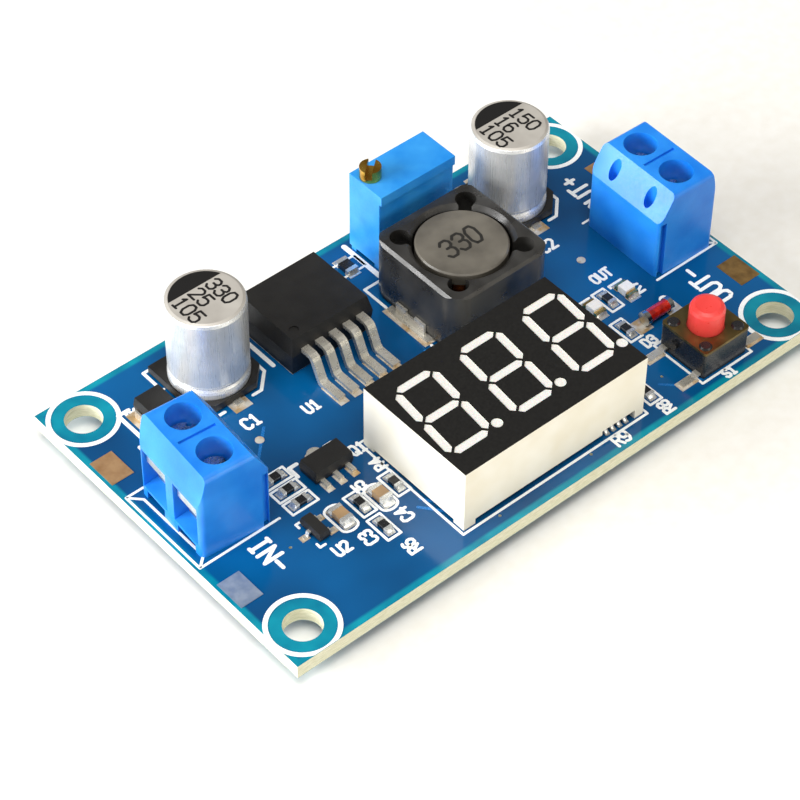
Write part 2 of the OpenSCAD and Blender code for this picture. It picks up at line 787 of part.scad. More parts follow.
module inductor_core() {
  h = ind_h - pad_t - ind_term_t - ind_base_t - 0.15;
  color("#54534e") at_inductor() translate([0, 0, ind_term_t + ind_base_t])
    rotate_extrude($fn = fine)
      polygon([
        [0, 0], [core_d / 2, 0], [core_d / 2, 1.1], [core_d / 4, 1.1], [core_d / 4, h - 1.3],
        [core_d / 2, h - 1.3], [core_d / 2, h - 0.15], [core_d / 2 - 0.15, h], [0, h]
      ]);
}

module inductor_winding() {
  low = ind_term_t + ind_base_t + 1.1 + slip_fit;
  high = ind_h - pad_t - 0.15 - 1.3 - slip_fit;
  color("#8c4a22") at_inductor() translate([0, 0, low])
    difference() {
      cylinder(h = high - low, d = core_d - 0.5, $fn = fine);
      translate([0, 0, -1]) cylinder(h = high, d = core_d / 2 + 2 * slip_fit, $fn = fine);
    }
}

module inductor_base() {
  color("#2b2b2b") at_inductor() translate([0, 0, ind_term_t])
    linear_extrude(ind_base_t) rounded_rect([ind_w - 0.2, ind_w - 0.2], ind_r);
}

module inductor_terminals() {
  // Two clips bent round the base, each with a foot and an upright
  color("#d5d7d7") at_inductor()
    for (side = [-1, 1]) {
      foot = 2 + ind_term_reach;
      box([foot, ind_term_w, ind_term_t], [side * (ind_w / 2 + ind_term_reach - foot / 2), 0, 0]);
      difference() {
        box([0.25, ind_term_w * 0.7, 1.3], [side * (ind_w / 2 + 0.05 + 0.125), 0, ind_term_t]);
        box([1, 1.2, 1], [side * ind_w / 2, 0, ind_term_t + 0.8]);
      }
    }
}

// ---------------------------------------------------------------- capacitors

module capacitor_can() {
  // A drawn cup with a crimped waist and a rounded rim, over the rubber seal
  r = can_d / 2;
  wall = 0.35;
  h = can_h;
  low = can_low;
  color("#c9cdd0") rotate_extrude($fn = fine)
    polygon([
      [r - 0.3, low], [r - 0.08, low + 0.12], [r, low + 0.35], [r, low + 0.85], [r - 0.1, low + 1.1],
      [r - 0.28, low + 1.3], [r - 0.28, low + 1.45], [r - 0.05, low + 1.85], [r - 0.05, h - 0.45],
      [r - 0.17, h - 0.14], [r - 0.48, h], [0, h], [0, h - wall], [r - 0.65, h - wall], [r - 0.4, h - 0.65],
      [r - 0.4, low + 1.95], [r - 0.63, low + 1.45], [r - 0.63, low + 1.25], [r - 0.4, low + 0.9],
      [r - 0.4, low + 0.4], [r - 0.65, low]
    ]);
}

module at_capacitor(i) {
  translate([caps[i][0], caps[i][1], seat]) children();
}

module in_capacitor_can() { at_capacitor(0) capacitor_can(); }
module out_capacitor_can() { at_capacitor(1) capacitor_can(); }

module capacitor_bases() {
  // The two corners on the positive side are cut off
  w = cap_base_w / 2;
  cut = 1.7;
  lead_slot = 1.1;
  color("#1c1c1c")
  for (i = [0, 1]) at_capacitor(i)
    difference() {
      translate([0, 0, 0.2]) linear_extrude(cap_base_t - 0.2)
        polygon([[-w, w], [-w, -w + cut], [-w + cut, -w], [w - cut, -w], [w, -w + cut], [w, w]]);
      translate([0, 0, can_low - slip_fit]) cylinder(h = 2, d = can_d + 2 * slip_fit, $fn = fine);
      box([lead_slot, cap_base_w + 2, 0.3], [0, 0, 0]);
      for (side = [-1, 1]) box([lead_slot, 0.5, 3], [0, side * 1.6, -1]);
    }
}

module capacitor_seals() {
  color("#33302d")
  for (i = [0, 1]) at_capacitor(i)
    difference() {
      translate([0, 0, can_low]) cylinder(h = 1.1, d = can_d - 1.5, $fn = fine);
      for (side = [-1, 1]) box([0.9, 0.4, 4], [0, side * 1.6, -1]);
    }
}

module capacitor_leads() {
  // Two flat leads, bent outwards in the slot of the base
  color("#d2d4d4")
  for (i = [0, 1], side = [-1, 1]) at_capacitor(i) {
    box([0.9, 0.4, can_low + 1], [0, side * 1.6, 0.2]);
    translate([-0.45, side > 0 ? 1.4 : -1.4 - 3.4, 0]) cube([0.9, 3.4, 0.2]);
  }
}

// ---------------------------------------------------------------- regulator

module at_regulator() {
  translate([reg_x, reg_y, seat]) children();
}

module regulator_body() {
  // A moulded block with drafted sides, seen from its end and from its side
  draft = 0.4;
  mid = lead_exit;
  color("#1f1f20") at_regulator()
  difference() {
    intersection() {
      translate([0, reg_l / 2, 0]) rotate([90, 0, 0]) linear_extrude(reg_l)
        polygon([
          [-reg_w / 2 + 0.2, 0.05], [-reg_w / 2, mid], [-reg_w / 2 + draft, reg_h],
          [reg_w / 2 - draft, reg_h], [reg_w / 2, mid], [reg_w / 2 - 0.2, 0.05]
        ]);
      rotate([90, 0, 90]) translate([0, 0, -reg_w / 2]) linear_extrude(reg_w)
        polygon([
          [-reg_l / 2 + 0.25, 0.05], [-reg_l / 2, mid], [-reg_l / 2 + draft, reg_h],
          [reg_l / 2 - draft, reg_h], [reg_l / 2, mid], [reg_l / 2, 0.05]
        ]);
    }
    box([reg_w - 1.6, reg_l, tab_t], [0, 1, 0]);
    for (i = [-2 : 2]) box([reg_lead_w, 2, reg_lead_t], [i * reg_pitch, -reg_l / 2, lead_exit]);
    translate([-reg_w / 2 + 1.4, -reg_l / 2 + 1.4, reg_h - 0.15]) cylinder(h = 1, d = 1, $fn = small);
  }
}

module regulator_tab() {
  // The copper tab under the body, standing out at the back with two notches
  color("#c3c5c4") at_regulator()
  difference() {
    translate([-reg_w / 2 + 0.8, -reg_l / 2 + 1, 0]) cube([reg_w - 1.6, reg_l + 0.5, tab_t]);
    for (side = [-1, 1]) translate([side * 2.6, reg_l / 2 + 1.5, -1]) cylinder(h = 3, d = 1.2, $fn = small);
  }
}

module regulator_leads() {
  // Five bent leads, each one strip of constant thickness
  t = reg_lead_t;
  y0 = -reg_l / 2 + 1;
  y1 = -reg_l / 2 - reg_reach;
  out = -reg_l / 2 - 1.1;
  knee = y1 + 2.7;
  color("#d3d3cd") at_regulator()
    for (i = [-2 : 2])
      translate([i * reg_pitch - reg_lead_w / 2, 0, 0]) rotate([90, 0, 90]) linear_extrude(reg_lead_w)
        polygon([
          [y0, lead_exit], [y0, lead_exit + t], [out, lead_exit + t], [out - 0.45, lead_exit + t - 0.2],
          [out - 0.7, lead_exit - 0.1], [knee + 0.1, t + 0.25], [knee - 0.15, t], [y1, t], [y1, 0],
          [knee, 0], [knee + 0.3, 0.1], [out - 0.25, lead_exit - 0.35], [out, lead_exit]
        ]);
}

// ---------------------------------------------------------------- push button

module at_switch() {
  translate([sw_x, sw_y, seat]) children();
}

module switch_base() {
  h = sw_h - pad_t - cover_t;
  color("#222325") at_switch()
  difference() {
    union() {
      linear_extrude(h) rounded_rect([sw_w - 0.1, sw_w - 0.1], 0.3);
      for (sx = [-1, 1], sy = [-1, 1]) translate([sx * (sw_w / 2 - 0.85), sy * (sw_w / 2 - 0.85), 0]) {
        cylinder(h = h + cover_t + 0.02, d = 0.8, $fn = small);
        translate([0, 0, h + cover_t + 0.01]) cylinder(h = 0.17, d1 = 1.3, d2 = 1, $fn = small);
      }
      translate([-sw_w / 2 + 0.1, 1, 1.7]) rotate([0, -90, 0]) cylinder(h = 0.35, d = 0.9, $fn = small);
    }
    translate([0, 0, sw_floor]) cylinder(h = h, d = flange_d + 0.4, $fn = fine);
    for (sy = [-1, 1]) box([sw_w + 2, 0.75, 0.2], [0, sy * 2.25, 0.35]);
  }
}

module switch_cover() {
  h = sw_h - pad_t - cover_t;
  color("#9c8c62") at_switch()
  difference() {
    translate([0, 0, h]) linear_extrude(cover_t) rounded_rect([sw_w, sw_w], 0.35);
    cylinder(h = h + 2, d = button_d + 0.2, $fn = fine);
    for (sx = [-1, 1], sy = [-1, 1]) translate([sx * (sw_w / 2 - 0.85), sy * (sw_w / 2 - 0.85), 0])
      cylinder(h = h + 2, d = 0.8, $fn = small);
  }
}

module switch_button() {
  // A cap on a flange that the cover plate holds in
  low = sw_floor + dome_h + 0.03;
  flange_low = sw_h - pad_t - cover_t - flange_t - 0.02;
  color("#e0403c") at_switch() rotate_extrude($fn = fine)
    polygon([
      [0, low], [0.7, low], [0.7, flange_low], [flange_d / 2, flange_low],
      [flange_d / 2, flange_low + flange_t], [button_d / 2, flange_low + flange_t],
      [button_d / 2, button_top - pad_t - 0.5], [button_d / 2 - 0.15, button_top - pad_t - 0.15],
      [button_d / 2 - 0.5, button_top - pad_t], [0, button_top - pad_t]
    ]);
}

module switch_dome() {
  // The snap dome, which gives way under the button
  r = flange_d / 2 - 0.15;
  t = 0.1;
  color("#cfc9b4") at_switch() rotate_extrude($fn = fine)
    polygon([
      [0, sw_floor + dome_h - t], [0, sw_floor + dome_h], [r * 0.45, sw_floor + dome_h * 0.8],
      [r * 0.8, sw_floor + dome_h * 0.42], [r, sw_floor + t], [r, sw_floor],
      [r - 0.12, sw_floor], [r * 0.78, sw_floor + dome_h * 0.42 - t], [r * 0.43, sw_floor + dome_h * 0.8 - t]
    ]);
}

module switch_leads() {
  // Four leads, stepping down from the body to the pads
  color("#cfd0cc") at_switch()
    for (turn = [0, 180], sy = [-1, 1]) rotate([0, 0, turn]) translate([0, sy * 2.25 + 0.375, 0])
      rotate([90, 0, 0]) linear_extrude(0.75)
        polygon([
          [sw_w / 2 - 0.6, 0.35], [sw_w / 2 - 0.6, 0.55], [sw_w / 2 + 0.35, 0.55], [sw_w / 2 + 0.6, 0.2],
          [sw_w / 2 + sw_foot, 0.2], [sw_w / 2 + sw_foot, 0], [sw_w / 2 + 0.45, 0], [sw_w / 2 + 0.2, 0.35]
        ]);
}

// ---------------------------------------------------------------- small parts

module moulded(size, low = 0) {
  // A small moulded body with a waist at its leads
  w = size[0] / 2;
  l = size[1] / 2;
  h = size[2];
  k = 0.12;
  intersection() {
    translate([0, l, low]) rotate([90, 0, 0]) linear_extrude(size[1])
      polygon([[-w + k, 0], [-w, h * 0.45], [-w + k, h], [w - k, h], [w, h * 0.45], [w - k, 0]]);
    translate([-w, 0, low]) rotate([90, 0, 90]) linear_extrude(size[0])
      polygon([[-l + k, 0], [-l, h * 0.45], [-l + k, h], [l - k, h], [l, h * 0.45], [l - k, 0]]);
  }
}

module input_diode_body() {
  color("#1b1b1c") translate([diode_place[0], diode_place[1], seat + 0.2]) moulded(diode_size);
}

module input_diode_terminals() {
  // Each terminal is bent down the end of the body and in under it
  reach = diode_size[0] / 2;
  color("#d4d5d4") translate([diode_place[0], diode_place[1], seat])
    for (turn = [0, 180]) rotate([0, 0, turn]) {
      translate([reach - 0.9, -0.7, 0]) cube([1.2, 1.4, 0.2]);
      translate([reach + 0.1, -0.7, 0.2]) cube([0.2, 1.4, 0.7]);
    }
}

module at_glass() {
  translate([glass_place[0], glass_place[1], seat + glass_d / 2]) rotate([0, 90, 0]) children();
}

module glass_diode_body() {
  color("#c23a2a") at_glass() translate([0, 0, -glass_l / 2 + 0.5])
    cylinder(h = glass_l - 1, d = glass_d - 0.15, $fn = small);
}

module glass_diode_caps() {
  color("#c6c8c6") at_glass() for (side = [-1, 1])
    translate([0, 0, side * (glass_l / 2 - 0.25) - 0.25]) cylinder(h = 0.5, d = glass_d, $fn = small);
}

module transistor_body() {
  color("#1e1e20") translate([transistor_place[0], transistor_place[1], seat])
  difference() {
    moulded([transistor_size[0], transistor_size[1], transistor_size[2]]);
    for (i = [-1 : 1]) box([0.5, 1, 0.4], [i * 1.5, -transistor_size[1] / 2, 0]);
    box([1.6, 2, 0.4], [0, transistor_size[1] / 2, 0]);
  }
}

module transistor_leads() {
  // Three short leads in front and a wide tab behind
  l = transistor_size[1] / 2;
  color("#d4d5d2") translate([transistor_place[0], transistor_place[1], seat]) {
    for (i = [-1 : 1]) box([0.5, 1.5, 0.4], [i * 1.5, -l - 0.25, 0]);
    translate([-0.8, l - 1, 0]) cube([1.6, 1.4, 0.4]);
    translate([0, l + 0.4, 0]) cylinder(h = 0.4, d = 1.6, $fn = small);
  }
}

module supply_lead() {
  // One gull-wing lead leaving the body in +X
  w = supply_size[0] / 2;
  translate([0, 0.2, 0]) rotate([90, 0, 0]) linear_extrude(0.4)
    polygon([
      [w - 0.15, 0.45], [w - 0.15, 0.6], [w + 0.25, 0.6], [w + 0.4, 0.15], [w + 0.75, 0.15],
      [w + 0.75, 0], [w + 0.3, 0], [w + 0.15, 0.45]
    ]);
}

module supply_leads() {
  for (y = [-0.95, 0.95]) translate([0, y, 0]) supply_lead();
  rotate([0, 0, 180]) supply_lead();
}

module supply_chip_body() {
  color("#1c1c1e") translate([supply_place[0], supply_place[1], seat])
  difference() {
    moulded([supply_size[0], supply_size[1], supply_size[2]], 0.1);
    supply_leads();
  }
}

module supply_chip_leads() {
  color("#d4d5d2") translate([supply_place[0], supply_place[1], seat]) supply_leads();
}

module controller_body() {
  color("#1f1f21") translate([controller_place[0], controller_place[1], seat])
    difference() {
      box(controller_size, [0, 0, 0.1]);
      controller_lead_row();
    }
}

module controller_lead_row() {
  w = controller_size[1] / 2;
  for (i = [0 : controller_leads_n - 1], turn = [0, 180]) rotate([0, 0, turn])
    translate([(i - (controller_leads_n - 1) / 2) * controller_pitch - 0.11, 0, 0])
      rotate([90, 0, 90]) linear_extrude(0.22)
        polygon([
          [w - 0.2, 0.4], [w - 0.2, 0.52], [w + 0.25, 0.52], [w + 0.4, 0.12], [w + 1, 0.12],
          [w + 1, 0], [w + 0.3, 0], [w + 0.15, 0.4]
        ]);
}

module controller_leads() {
  color("#d2d3d1") translate([controller_place[0], controller_place[1], seat]) controller_lead_row();
}

module chip_middles(places, size) {
  for (place = places) at_chip(place)
    box([size[0] * (1 - 2 * end_share), size[1], size[2]], [0, 0, seat]);
}

module chip_ends(places, size) {
  for (place = places) at_chip(place)
    for (side = [-1, 1])
      box([size[0] * end_share, size[1] + 0.06, size[2] + 0.04],
          [side * size[0] * (1 - end_share) / 2, 0, seat]);
}

module array_ends() {
  for (i = [0 : array_ways - 1], side = [-1, 1])
    box([array_size[0] / array_ways * 0.6, 0.3, array_size[2]],
        [array_place[0] + (i - (array_ways - 1) / 2) * array_size[0] / array_ways,
         array_place[1] + side * (array_size[1] / 2 - 0.15), seat]);
}

module resistor_bodies() {
  color("#232326") {
    chip_middles(resistors, resistor_size);
    chip_middles(sense_resistor, sense_size);
    box([array_size[0], array_size[1] - 0.6, array_size[2]], [array_place[0], array_place[1], seat]);
  }
}

module resistor_ends() {
  color("#cfd0cd") {
    chip_ends(resistors, resistor_size);
    chip_ends(sense_resistor, sense_size);
    array_ends();
  }
}

module ceramic_capacitor_bodies() { color("#b08a63") chip_middles(ceramics, ceramic_size); }
module ceramic_capacitor_ends() { color("#cfd0cd") chip_ends(ceramics, ceramic_size); }
module led_bodies() { color("#f5f3ec") chip_middles(leds, led_size); }
module led_ends() { color("#d8c08a") chip_ends(leds, led_size - [0, 0, 0.3]); }

// ---------------------------------------------------------------- nodes

circuit_board();
copper_pads();
solder_joints();
in_terminal_housing();
out_terminal_housing();
in_clamp_frames();
out_clamp_frames();
in_plus_guard();
in_minus_guard();
out_plus_guard();
out_minus_guard();
in_plus_screw();
in_minus_screw();
out_plus_screw();
out_minus_screw();
display_case();
display_segments();
display_led_board();
display_potting();
display_pins();
trimmer_case();
trimmer_base();
trimmer_screw();
trimmer_gear();
trimmer_element();
trimmer_pins();
inductor_shield();
inductor_core();
inductor_winding();
inductor_base();
inductor_terminals();
in_capacitor_can();
out_capacitor_can();
capacitor_bases();
capacitor_seals();
capacitor_leads();
regulator_body();
regulator_tab();
regulator_leads();
switch_base();
switch_cover();
switch_button();
switch_dome();
switch_leads();
input_diode_body();
input_diode_terminals();
glass_diode_body();
glass_diode_caps();
transistor_body();
transistor_leads();
supply_chip_body();
supply_chip_leads();
controller_body();
controller_leads();
resistor_bodies();
resistor_ends();
ceramic_capacitor_bodies();
ceramic_capacitor_ends();
led_bodies();
led_ends();
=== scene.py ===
"""Finishes and printed details for a step-down converter module with a digit display."""
import json
import math

import bmesh
import bpy
from bpy.props import FloatProperty, FloatVectorProperty, PointerProperty
from mathutils import Matrix, Vector


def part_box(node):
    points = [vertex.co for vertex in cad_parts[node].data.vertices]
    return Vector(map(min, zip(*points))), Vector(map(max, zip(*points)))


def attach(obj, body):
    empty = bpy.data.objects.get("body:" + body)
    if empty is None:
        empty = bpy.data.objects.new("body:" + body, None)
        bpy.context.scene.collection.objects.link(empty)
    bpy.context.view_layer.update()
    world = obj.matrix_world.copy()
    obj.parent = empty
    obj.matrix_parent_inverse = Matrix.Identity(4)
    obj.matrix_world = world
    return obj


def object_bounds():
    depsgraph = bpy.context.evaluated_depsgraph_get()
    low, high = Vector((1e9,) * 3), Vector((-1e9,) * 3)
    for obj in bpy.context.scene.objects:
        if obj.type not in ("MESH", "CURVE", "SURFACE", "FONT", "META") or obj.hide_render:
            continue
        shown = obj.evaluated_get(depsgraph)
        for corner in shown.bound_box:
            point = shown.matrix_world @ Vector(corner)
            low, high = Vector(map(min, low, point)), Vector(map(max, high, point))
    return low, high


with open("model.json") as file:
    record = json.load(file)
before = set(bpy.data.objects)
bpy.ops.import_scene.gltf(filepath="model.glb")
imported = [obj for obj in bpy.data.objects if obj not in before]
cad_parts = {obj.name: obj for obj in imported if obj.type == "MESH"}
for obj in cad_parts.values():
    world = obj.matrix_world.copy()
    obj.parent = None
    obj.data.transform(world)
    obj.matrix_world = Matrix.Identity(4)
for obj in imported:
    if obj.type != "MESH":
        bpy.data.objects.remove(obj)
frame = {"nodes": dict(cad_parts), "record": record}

bl_info = {
    "name": "Converter Module Finishes",
    "version": (1, 0, 0),
    "blender": (4, 5, 0),
    "location": "View3D > Sidebar > Module",
    "description": "Dresses the packed converter module in its real finishes",
    "category": "Object",
}

CAD_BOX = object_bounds()
MM = 0.001
BODY = "module"
INK = 0.03 * MM
NODES = frame["nodes"]


# ---------------------------------------------------------------- measures

def box_mm(node):
    """The lowest and highest corner of a node, in millimetres."""
    low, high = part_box(node)
    return low / MM, high / MM


def middle(low, high):
    return (low + high) / 2


def solids(node):
    """The box of each separate solid in a node, in millimetres."""
    shape = bmesh.new()
    shape.from_mesh(NODES[node].data)
    bmesh.ops.remove_doubles(shape, verts=shape.verts, dist=1e-7)
    left, boxes = set(shape.verts), []
    while left:
        stack = [left.pop()]
        found = list(stack)
        while stack:
            for edge in stack.pop().link_edges:
                for end in edge.verts:
                    if end in left:
                        left.discard(end)
                        stack.append(end)
                        found.append(end)
        low = Vector([min(v.co[i] for v in found) for i in range(3)]) / MM
        high = Vector([max(v.co[i] for v in found) for i in range(3)]) / MM
        boxes.append((low, high))
    shape.free()
    return sorted(boxes, key=lambda pair: tuple(pair[0]))


BOARD_LOW, BOARD_HIGH = box_mm("circuit_board")
TOP = BOARD_HIGH.z
SIZE = BOARD_HIGH - BOARD_LOW
PRINT_MARGIN = 0.02
EDGE = SIZE / 2 - Vector((PRINT_MARGIN, PRINT_MARGIN, 0))
MOUNT = frame["record"]["mounts"][0]["dims"]


# ---------------------------------------------------------------- materials

def linear(code):
    """An sRGB hex colour as linear RGBA."""
    parts = [int(code[i:i + 2], 16) / 255 for i in (1, 3, 5)]
    return [p / 12.92 if p <= 0.04045 else ((p + 0.055) / 1.055) ** 2.4 for p in parts] + [1]


def tint(colour):
    """Linear RGBA of an sRGB hex code or of a colour setting."""
    return linear(colour) if isinstance(colour, str) else [*colour, 1]


def add(tree, kind, inputs=None, **settings):
    """One node with its settings, its values and its links."""
    made = tree.nodes.new(kind)
    for name, value in settings.items():
        setattr(made, name, value)
    for name, value in (inputs or {}).items():
        socket = made.inputs[name]
        if isinstance(value, bpy.types.NodeSocket):
            tree.links.new(value, socket)
        else:
            socket.default_value = value
    return made


def new_material(name):
    made = bpy.data.materials.new(name)
    made.use_nodes = True
    made.node_tree.nodes.clear()
    return made, made.node_tree


def finish_material(tree, shader):
    add(tree, "ShaderNodeOutputMaterial", {"Surface": shader.outputs["BSDF"]})


def place(tree, scale_mm=1.0, centre=(0, 0, 0), turn=0.0):
    """Object coordinates in units of scale_mm millimetres, about a centre in millimetres."""
    raw = add(tree, "ShaderNodeTexCoord").outputs["Object"]
    scale = 1 / (scale_mm * MM)
    moved = add(tree, "ShaderNodeMapping", {
        "Vector": raw,
        "Location": [-c * MM for c in centre],
    }).outputs["Vector"]
    return add(tree, "ShaderNodeMapping", {
        "Vector": moved,
        "Rotation": (0, 0, turn),
        "Scale": (scale, scale, scale),
    }).outputs["Vector"]


def speckle(tree, size_mm, detail=3.0, rough=0.5, stretch=None):
    """Noise whose cells are size_mm millimetres across."""
    vector = place(tree, size_mm)
    if stretch:
        vector = add(tree, "ShaderNodeMapping", {"Vector": vector, "Scale": stretch}).outputs["Vector"]
    return add(tree, "ShaderNodeTexNoise",
               {"Vector": vector, "Scale": 1.0, "Detail": detail, "Roughness": rough}).outputs["Fac"]


def ramp(tree, factor, stops):
    """A colour ramp: stops are (position, hex colour)."""
    made = add(tree, "ShaderNodeValToRGB", {"Fac": factor})
    band = made.color_ramp
    while len(band.elements) < len(stops):
        band.elements.new(0.5)
    for element, (position, code) in zip(band.elements, stops):
        element.position = position
        element.color = tint(code)
    return made.outputs["Color"]


def spread(tree, factor, low, high, start=0.0, end=1.0):
    return add(tree, "ShaderNodeMapRange", {
        "Value": factor, "From Min": start, "From Max": end, "To Min": low, "To Max": high,
    }).outputs["Result"]


def blend(tree, factor, first, second):
    """A colour between two colours or sockets."""
    made = add(tree, "ShaderNodeMix", data_type="RGBA")
    for index, value in ((0, factor), (6, first), (7, second)):
        if isinstance(value, bpy.types.NodeSocket):
            tree.links.new(value, made.inputs[index])
        else:
            made.inputs[index].default_value = value
    return made.outputs[2]


def bump(tree, height, depth_mm, strength=1.0):
    return add(tree, "ShaderNodeBump",
               {"Height": height, "Distance": depth_mm * MM, "Strength": strength}).outputs["Normal"]


def shader(tree, **inputs):
    names = {key.replace("_", " "): value for key, value in inputs.items()}
    return add(tree, "ShaderNodeBsdfPrincipled", names)


def height_of(tree):
    """The object's Z, in millimetres."""
    split = add(tree, "ShaderNodeSeparateXYZ", {"Vector": place(tree, 1.0)})
    return split.outputs["Z"]


def moulded_plastic(name, light, dark, grain_mm=0.18, roughness=0.38, depth_mm=0.006, cloud_mm=3.0,
                    subsurface=0.0, coat=0.0):
    """Injection-moulded plastic: soft clouding, a fine spark-eroded grain and a broad highlight."""
    made, tree = new_material(name)
    cloud = speckle(tree, cloud_mm, 2.0)
    grain = speckle(tree, grain_mm, 2.0)
    body = shader(
        tree,
        Base_Color=ramp(tree, cloud, [(0.3, dark), (0.7, light)]),
        Roughness=spread(tree, grain, roughness - 0.06, roughness + 0.08, 0.3, 0.7),
        IOR=1.5,
        Normal=bump(tree, grain, depth_mm),
        Subsurface_Weight=subsurface,
        Subsurface_Scale=0.6 * MM,
        Coat_Weight=coat,
    )
    body.inputs["Subsurface Radius"].default_value = (0.6, 0.8, 1.0)
    finish_material(tree, body)
    return made


def plated_metal(name, light, dark, roughness=0.28, grain_mm=0.25, depth_mm=0.002, stretch=None,
                 metallic=1.0):
    """Plated sheet or wire: metallic, with fine uneven plating and a few duller patches."""
    made, tree = new_material(name)
    grain = speckle(tree, grain_mm, 4.0, 0.6, stretch)
    patch = speckle(tree, grain_mm * 6, 2.0)
    finish_material(tree, shader(
        tree,
        Base_Color=ramp(tree, patch, [(0.32, dark), (0.68, light)]),
        Metallic=metallic,
        Roughness=spread(tree, grain, roughness * 0.8, roughness * 1.3, 0.3, 0.7),
        Normal=bump(tree, grain, depth_mm),
    ))
    return made


def math_node(tree, operation, *values):
    return add(tree, "ShaderNodeMath", dict(enumerate(values)), operation=operation).outputs[0]


def from_middle(tree):
    """How far a point lies from the board's middle along X and along Y, in millimetres."""
    split = add(tree, "ShaderNodeSeparateXYZ", {"Vector": place(tree, 1.0)})
    return [math_node(tree, "ABSOLUTE", split.outputs[axis]) for axis in "XY"]


def solder_mask():
    """Glossy blue solder mask over copper and glass laminate; the sawn edge shows the laminate.

    The mask is deep blue over the copper pour and teal where it lies on bare laminate: along the
    board's edge and round the mounting holes. Its gloss mirrors the parts that stand on it.
    """
    made, tree = new_material("solder_mask_on_laminate")
    settings = bpy.context.scene.module_finishes
    x, y = from_middle(tree)
    nearest = math_node(tree, "MINIMUM", math_node(tree, "SUBTRACT", SIZE.x / 2, x),
                        math_node(tree, "SUBTRACT", SIZE.y / 2, y))
    hole_x = math_node(tree, "SUBTRACT", x, MOUNT["spacing_x_mm"] / 2)
    hole_y = math_node(tree, "SUBTRACT", y, MOUNT["spacing_y_mm"] / 2)
    from_hole = math_node(tree, "SQRT", math_node(tree, "MULTIPLY_ADD", hole_x, hole_x,
                                                  math_node(tree, "MULTIPLY", hole_y, hole_y)))
    pour = math_node(tree, "MINIMUM", spread(tree, nearest, 0.0, 1.0, 0.5, 0.8),
                     spread(tree, from_hole, 0.0, 1.0, 2.9, 3.4))
    cloud = speckle(tree, 12.0, 2.0)
    over_copper = ramp(tree, cloud, [(0.3, settings.mask_dark), (0.7, settings.mask_light)])
    bare = ramp(tree, speckle(tree, 3.0, 2.0), [(0.3, "#00728F"), (0.7, "#0A93A8")])
    mask = blend(tree, pour, bare, over_copper)
    fibre = speckle(tree, 0.22, 3.0, 0.6, (0.25, 0.25, 3.0))
    laminate = ramp(tree, fibre, [(0.3, "#C6C6A2"), (0.7, "#EFEDD8")])
    from_face = math_node(tree, "ABSOLUTE", math_node(tree, "SUBTRACT", height_of(tree), TOP / 2))
    edge = math_node(tree, "LESS_THAN", from_face, TOP / 2 - 0.03)
    grain = speckle(tree, 0.5, 2.0)
    finish_material(tree, shader(
        tree,
        Base_Color=blend(tree, edge, mask, laminate),
        Roughness=spread(tree, edge, settings.mask_roughness, 0.6),
        IOR=1.5,
        Normal=bump(tree, grain, 0.0012),
    ))
    return made


def silkscreen_ink():
    """White epoxy ink: matt, with a slightly uneven screened edge."""
    made, tree = new_material("white_screen_ink")
    grain = speckle(tree, 0.12, 3.0)
    finish_material(tree, shader(
        tree,
        Base_Color=ramp(tree, grain, [(0.3, "#EDF4F6"), (0.6, "#FFFFFF")]),
        Roughness=0.55,
        IOR=1.5,
        Normal=bump(tree, grain, 0.003),
    ))
    return made


def anodised_can():
    """Drawn aluminium can with a clear film: silver with fine draw lines, and a matt grey flat top."""
    made, tree = new_material("drawn_aluminium_can")
    lines = speckle(tree, 0.35, 3.0, 0.6, (3.0, 3.0, 0.08))
    cloud = speckle(tree, 2.5, 2.0)
    side = ramp(tree, cloud, [(0.3, "#DCE0E1"), (0.7, "#F4F5F5")])
    flat = ramp(tree, cloud, [(0.3, "#B4AFA8"), (0.7, "#C6C2BB")])
    top = math_node(tree, "GREATER_THAN", height_of(tree), box_mm("in_capacitor_can")[1].z - 0.12)
    finish_material(tree, shader(
        tree,
        Base_Color=blend(tree, top, side, flat),
        Metallic=spread(tree, top, 0.55, 0.25),
        Roughness=math_node(tree, "MULTIPLY_ADD", top, 0.2, spread(tree, lines, 0.24, 0.36, 0.3, 0.7)),
        Normal=bump(tree, lines, 0.002),
        Coat_Weight=0.25,
        Coat_Roughness=0.25,
    ))
    return made


def print_ink(name, code):
    """Pad-printed ink: dense and matt with a little texture."""
    made, tree = new_material(name)
    grain = speckle(tree, 0.1, 2.0)
    finish_material(tree, shader(
        tree,
        Base_Color=blend(tree, grain, linear(code), [c * 1.25 for c in linear(code)[:3]] + [1]),
        Roughness=spread(tree, grain, 0.45, 0.6, 0.3, 0.7),
        Normal=bump(tree, grain, 0.003),
    ))
    return made


def fired_ferrite(name, light, dark, depth_mm=0.02, roughness=0.42):
    """Sintered ferrite: dark grey ceramic, ground smooth, with small pits and glossy glue smears."""
    made, tree = new_material(name)
    pits = speckle(tree, 0.3, 5.0, 0.65)
    cloud = speckle(tree, 3.0, 3.0)
    finish_material(tree, shader(
        tree,
        Base_Color=ramp(tree, cloud, [(0.3, dark), (0.7, light)]),
        Roughness=spread(tree, cloud, roughness - 0.12, roughness + 0.1, 0.35, 0.65),
        IOR=1.6,
        Normal=bump(tree, pits, depth_mm),
        Coat_Weight=0.35,
        Coat_Roughness=0.2,
    ))
    return made


def epoxy_body():
    """Moulded black epoxy of a chip: matt, with a fine sandy spark finish."""
    made, tree = new_material("black_mould_epoxy")
    sand = speckle(tree, 0.12, 4.0, 0.7)
    cloud = speckle(tree, 2.0, 2.0)
    finish_material(tree, shader(
        tree,
        Base_Color=ramp(tree, cloud, [(0.3, "#100F0F"), (0.7, "#1B1A19")]),
        Roughness=spread(tree, sand, 0.42, 0.62, 0.3, 0.7),
        IOR=1.52,
        Normal=bump(tree, sand, 0.012),
    ))
    return made


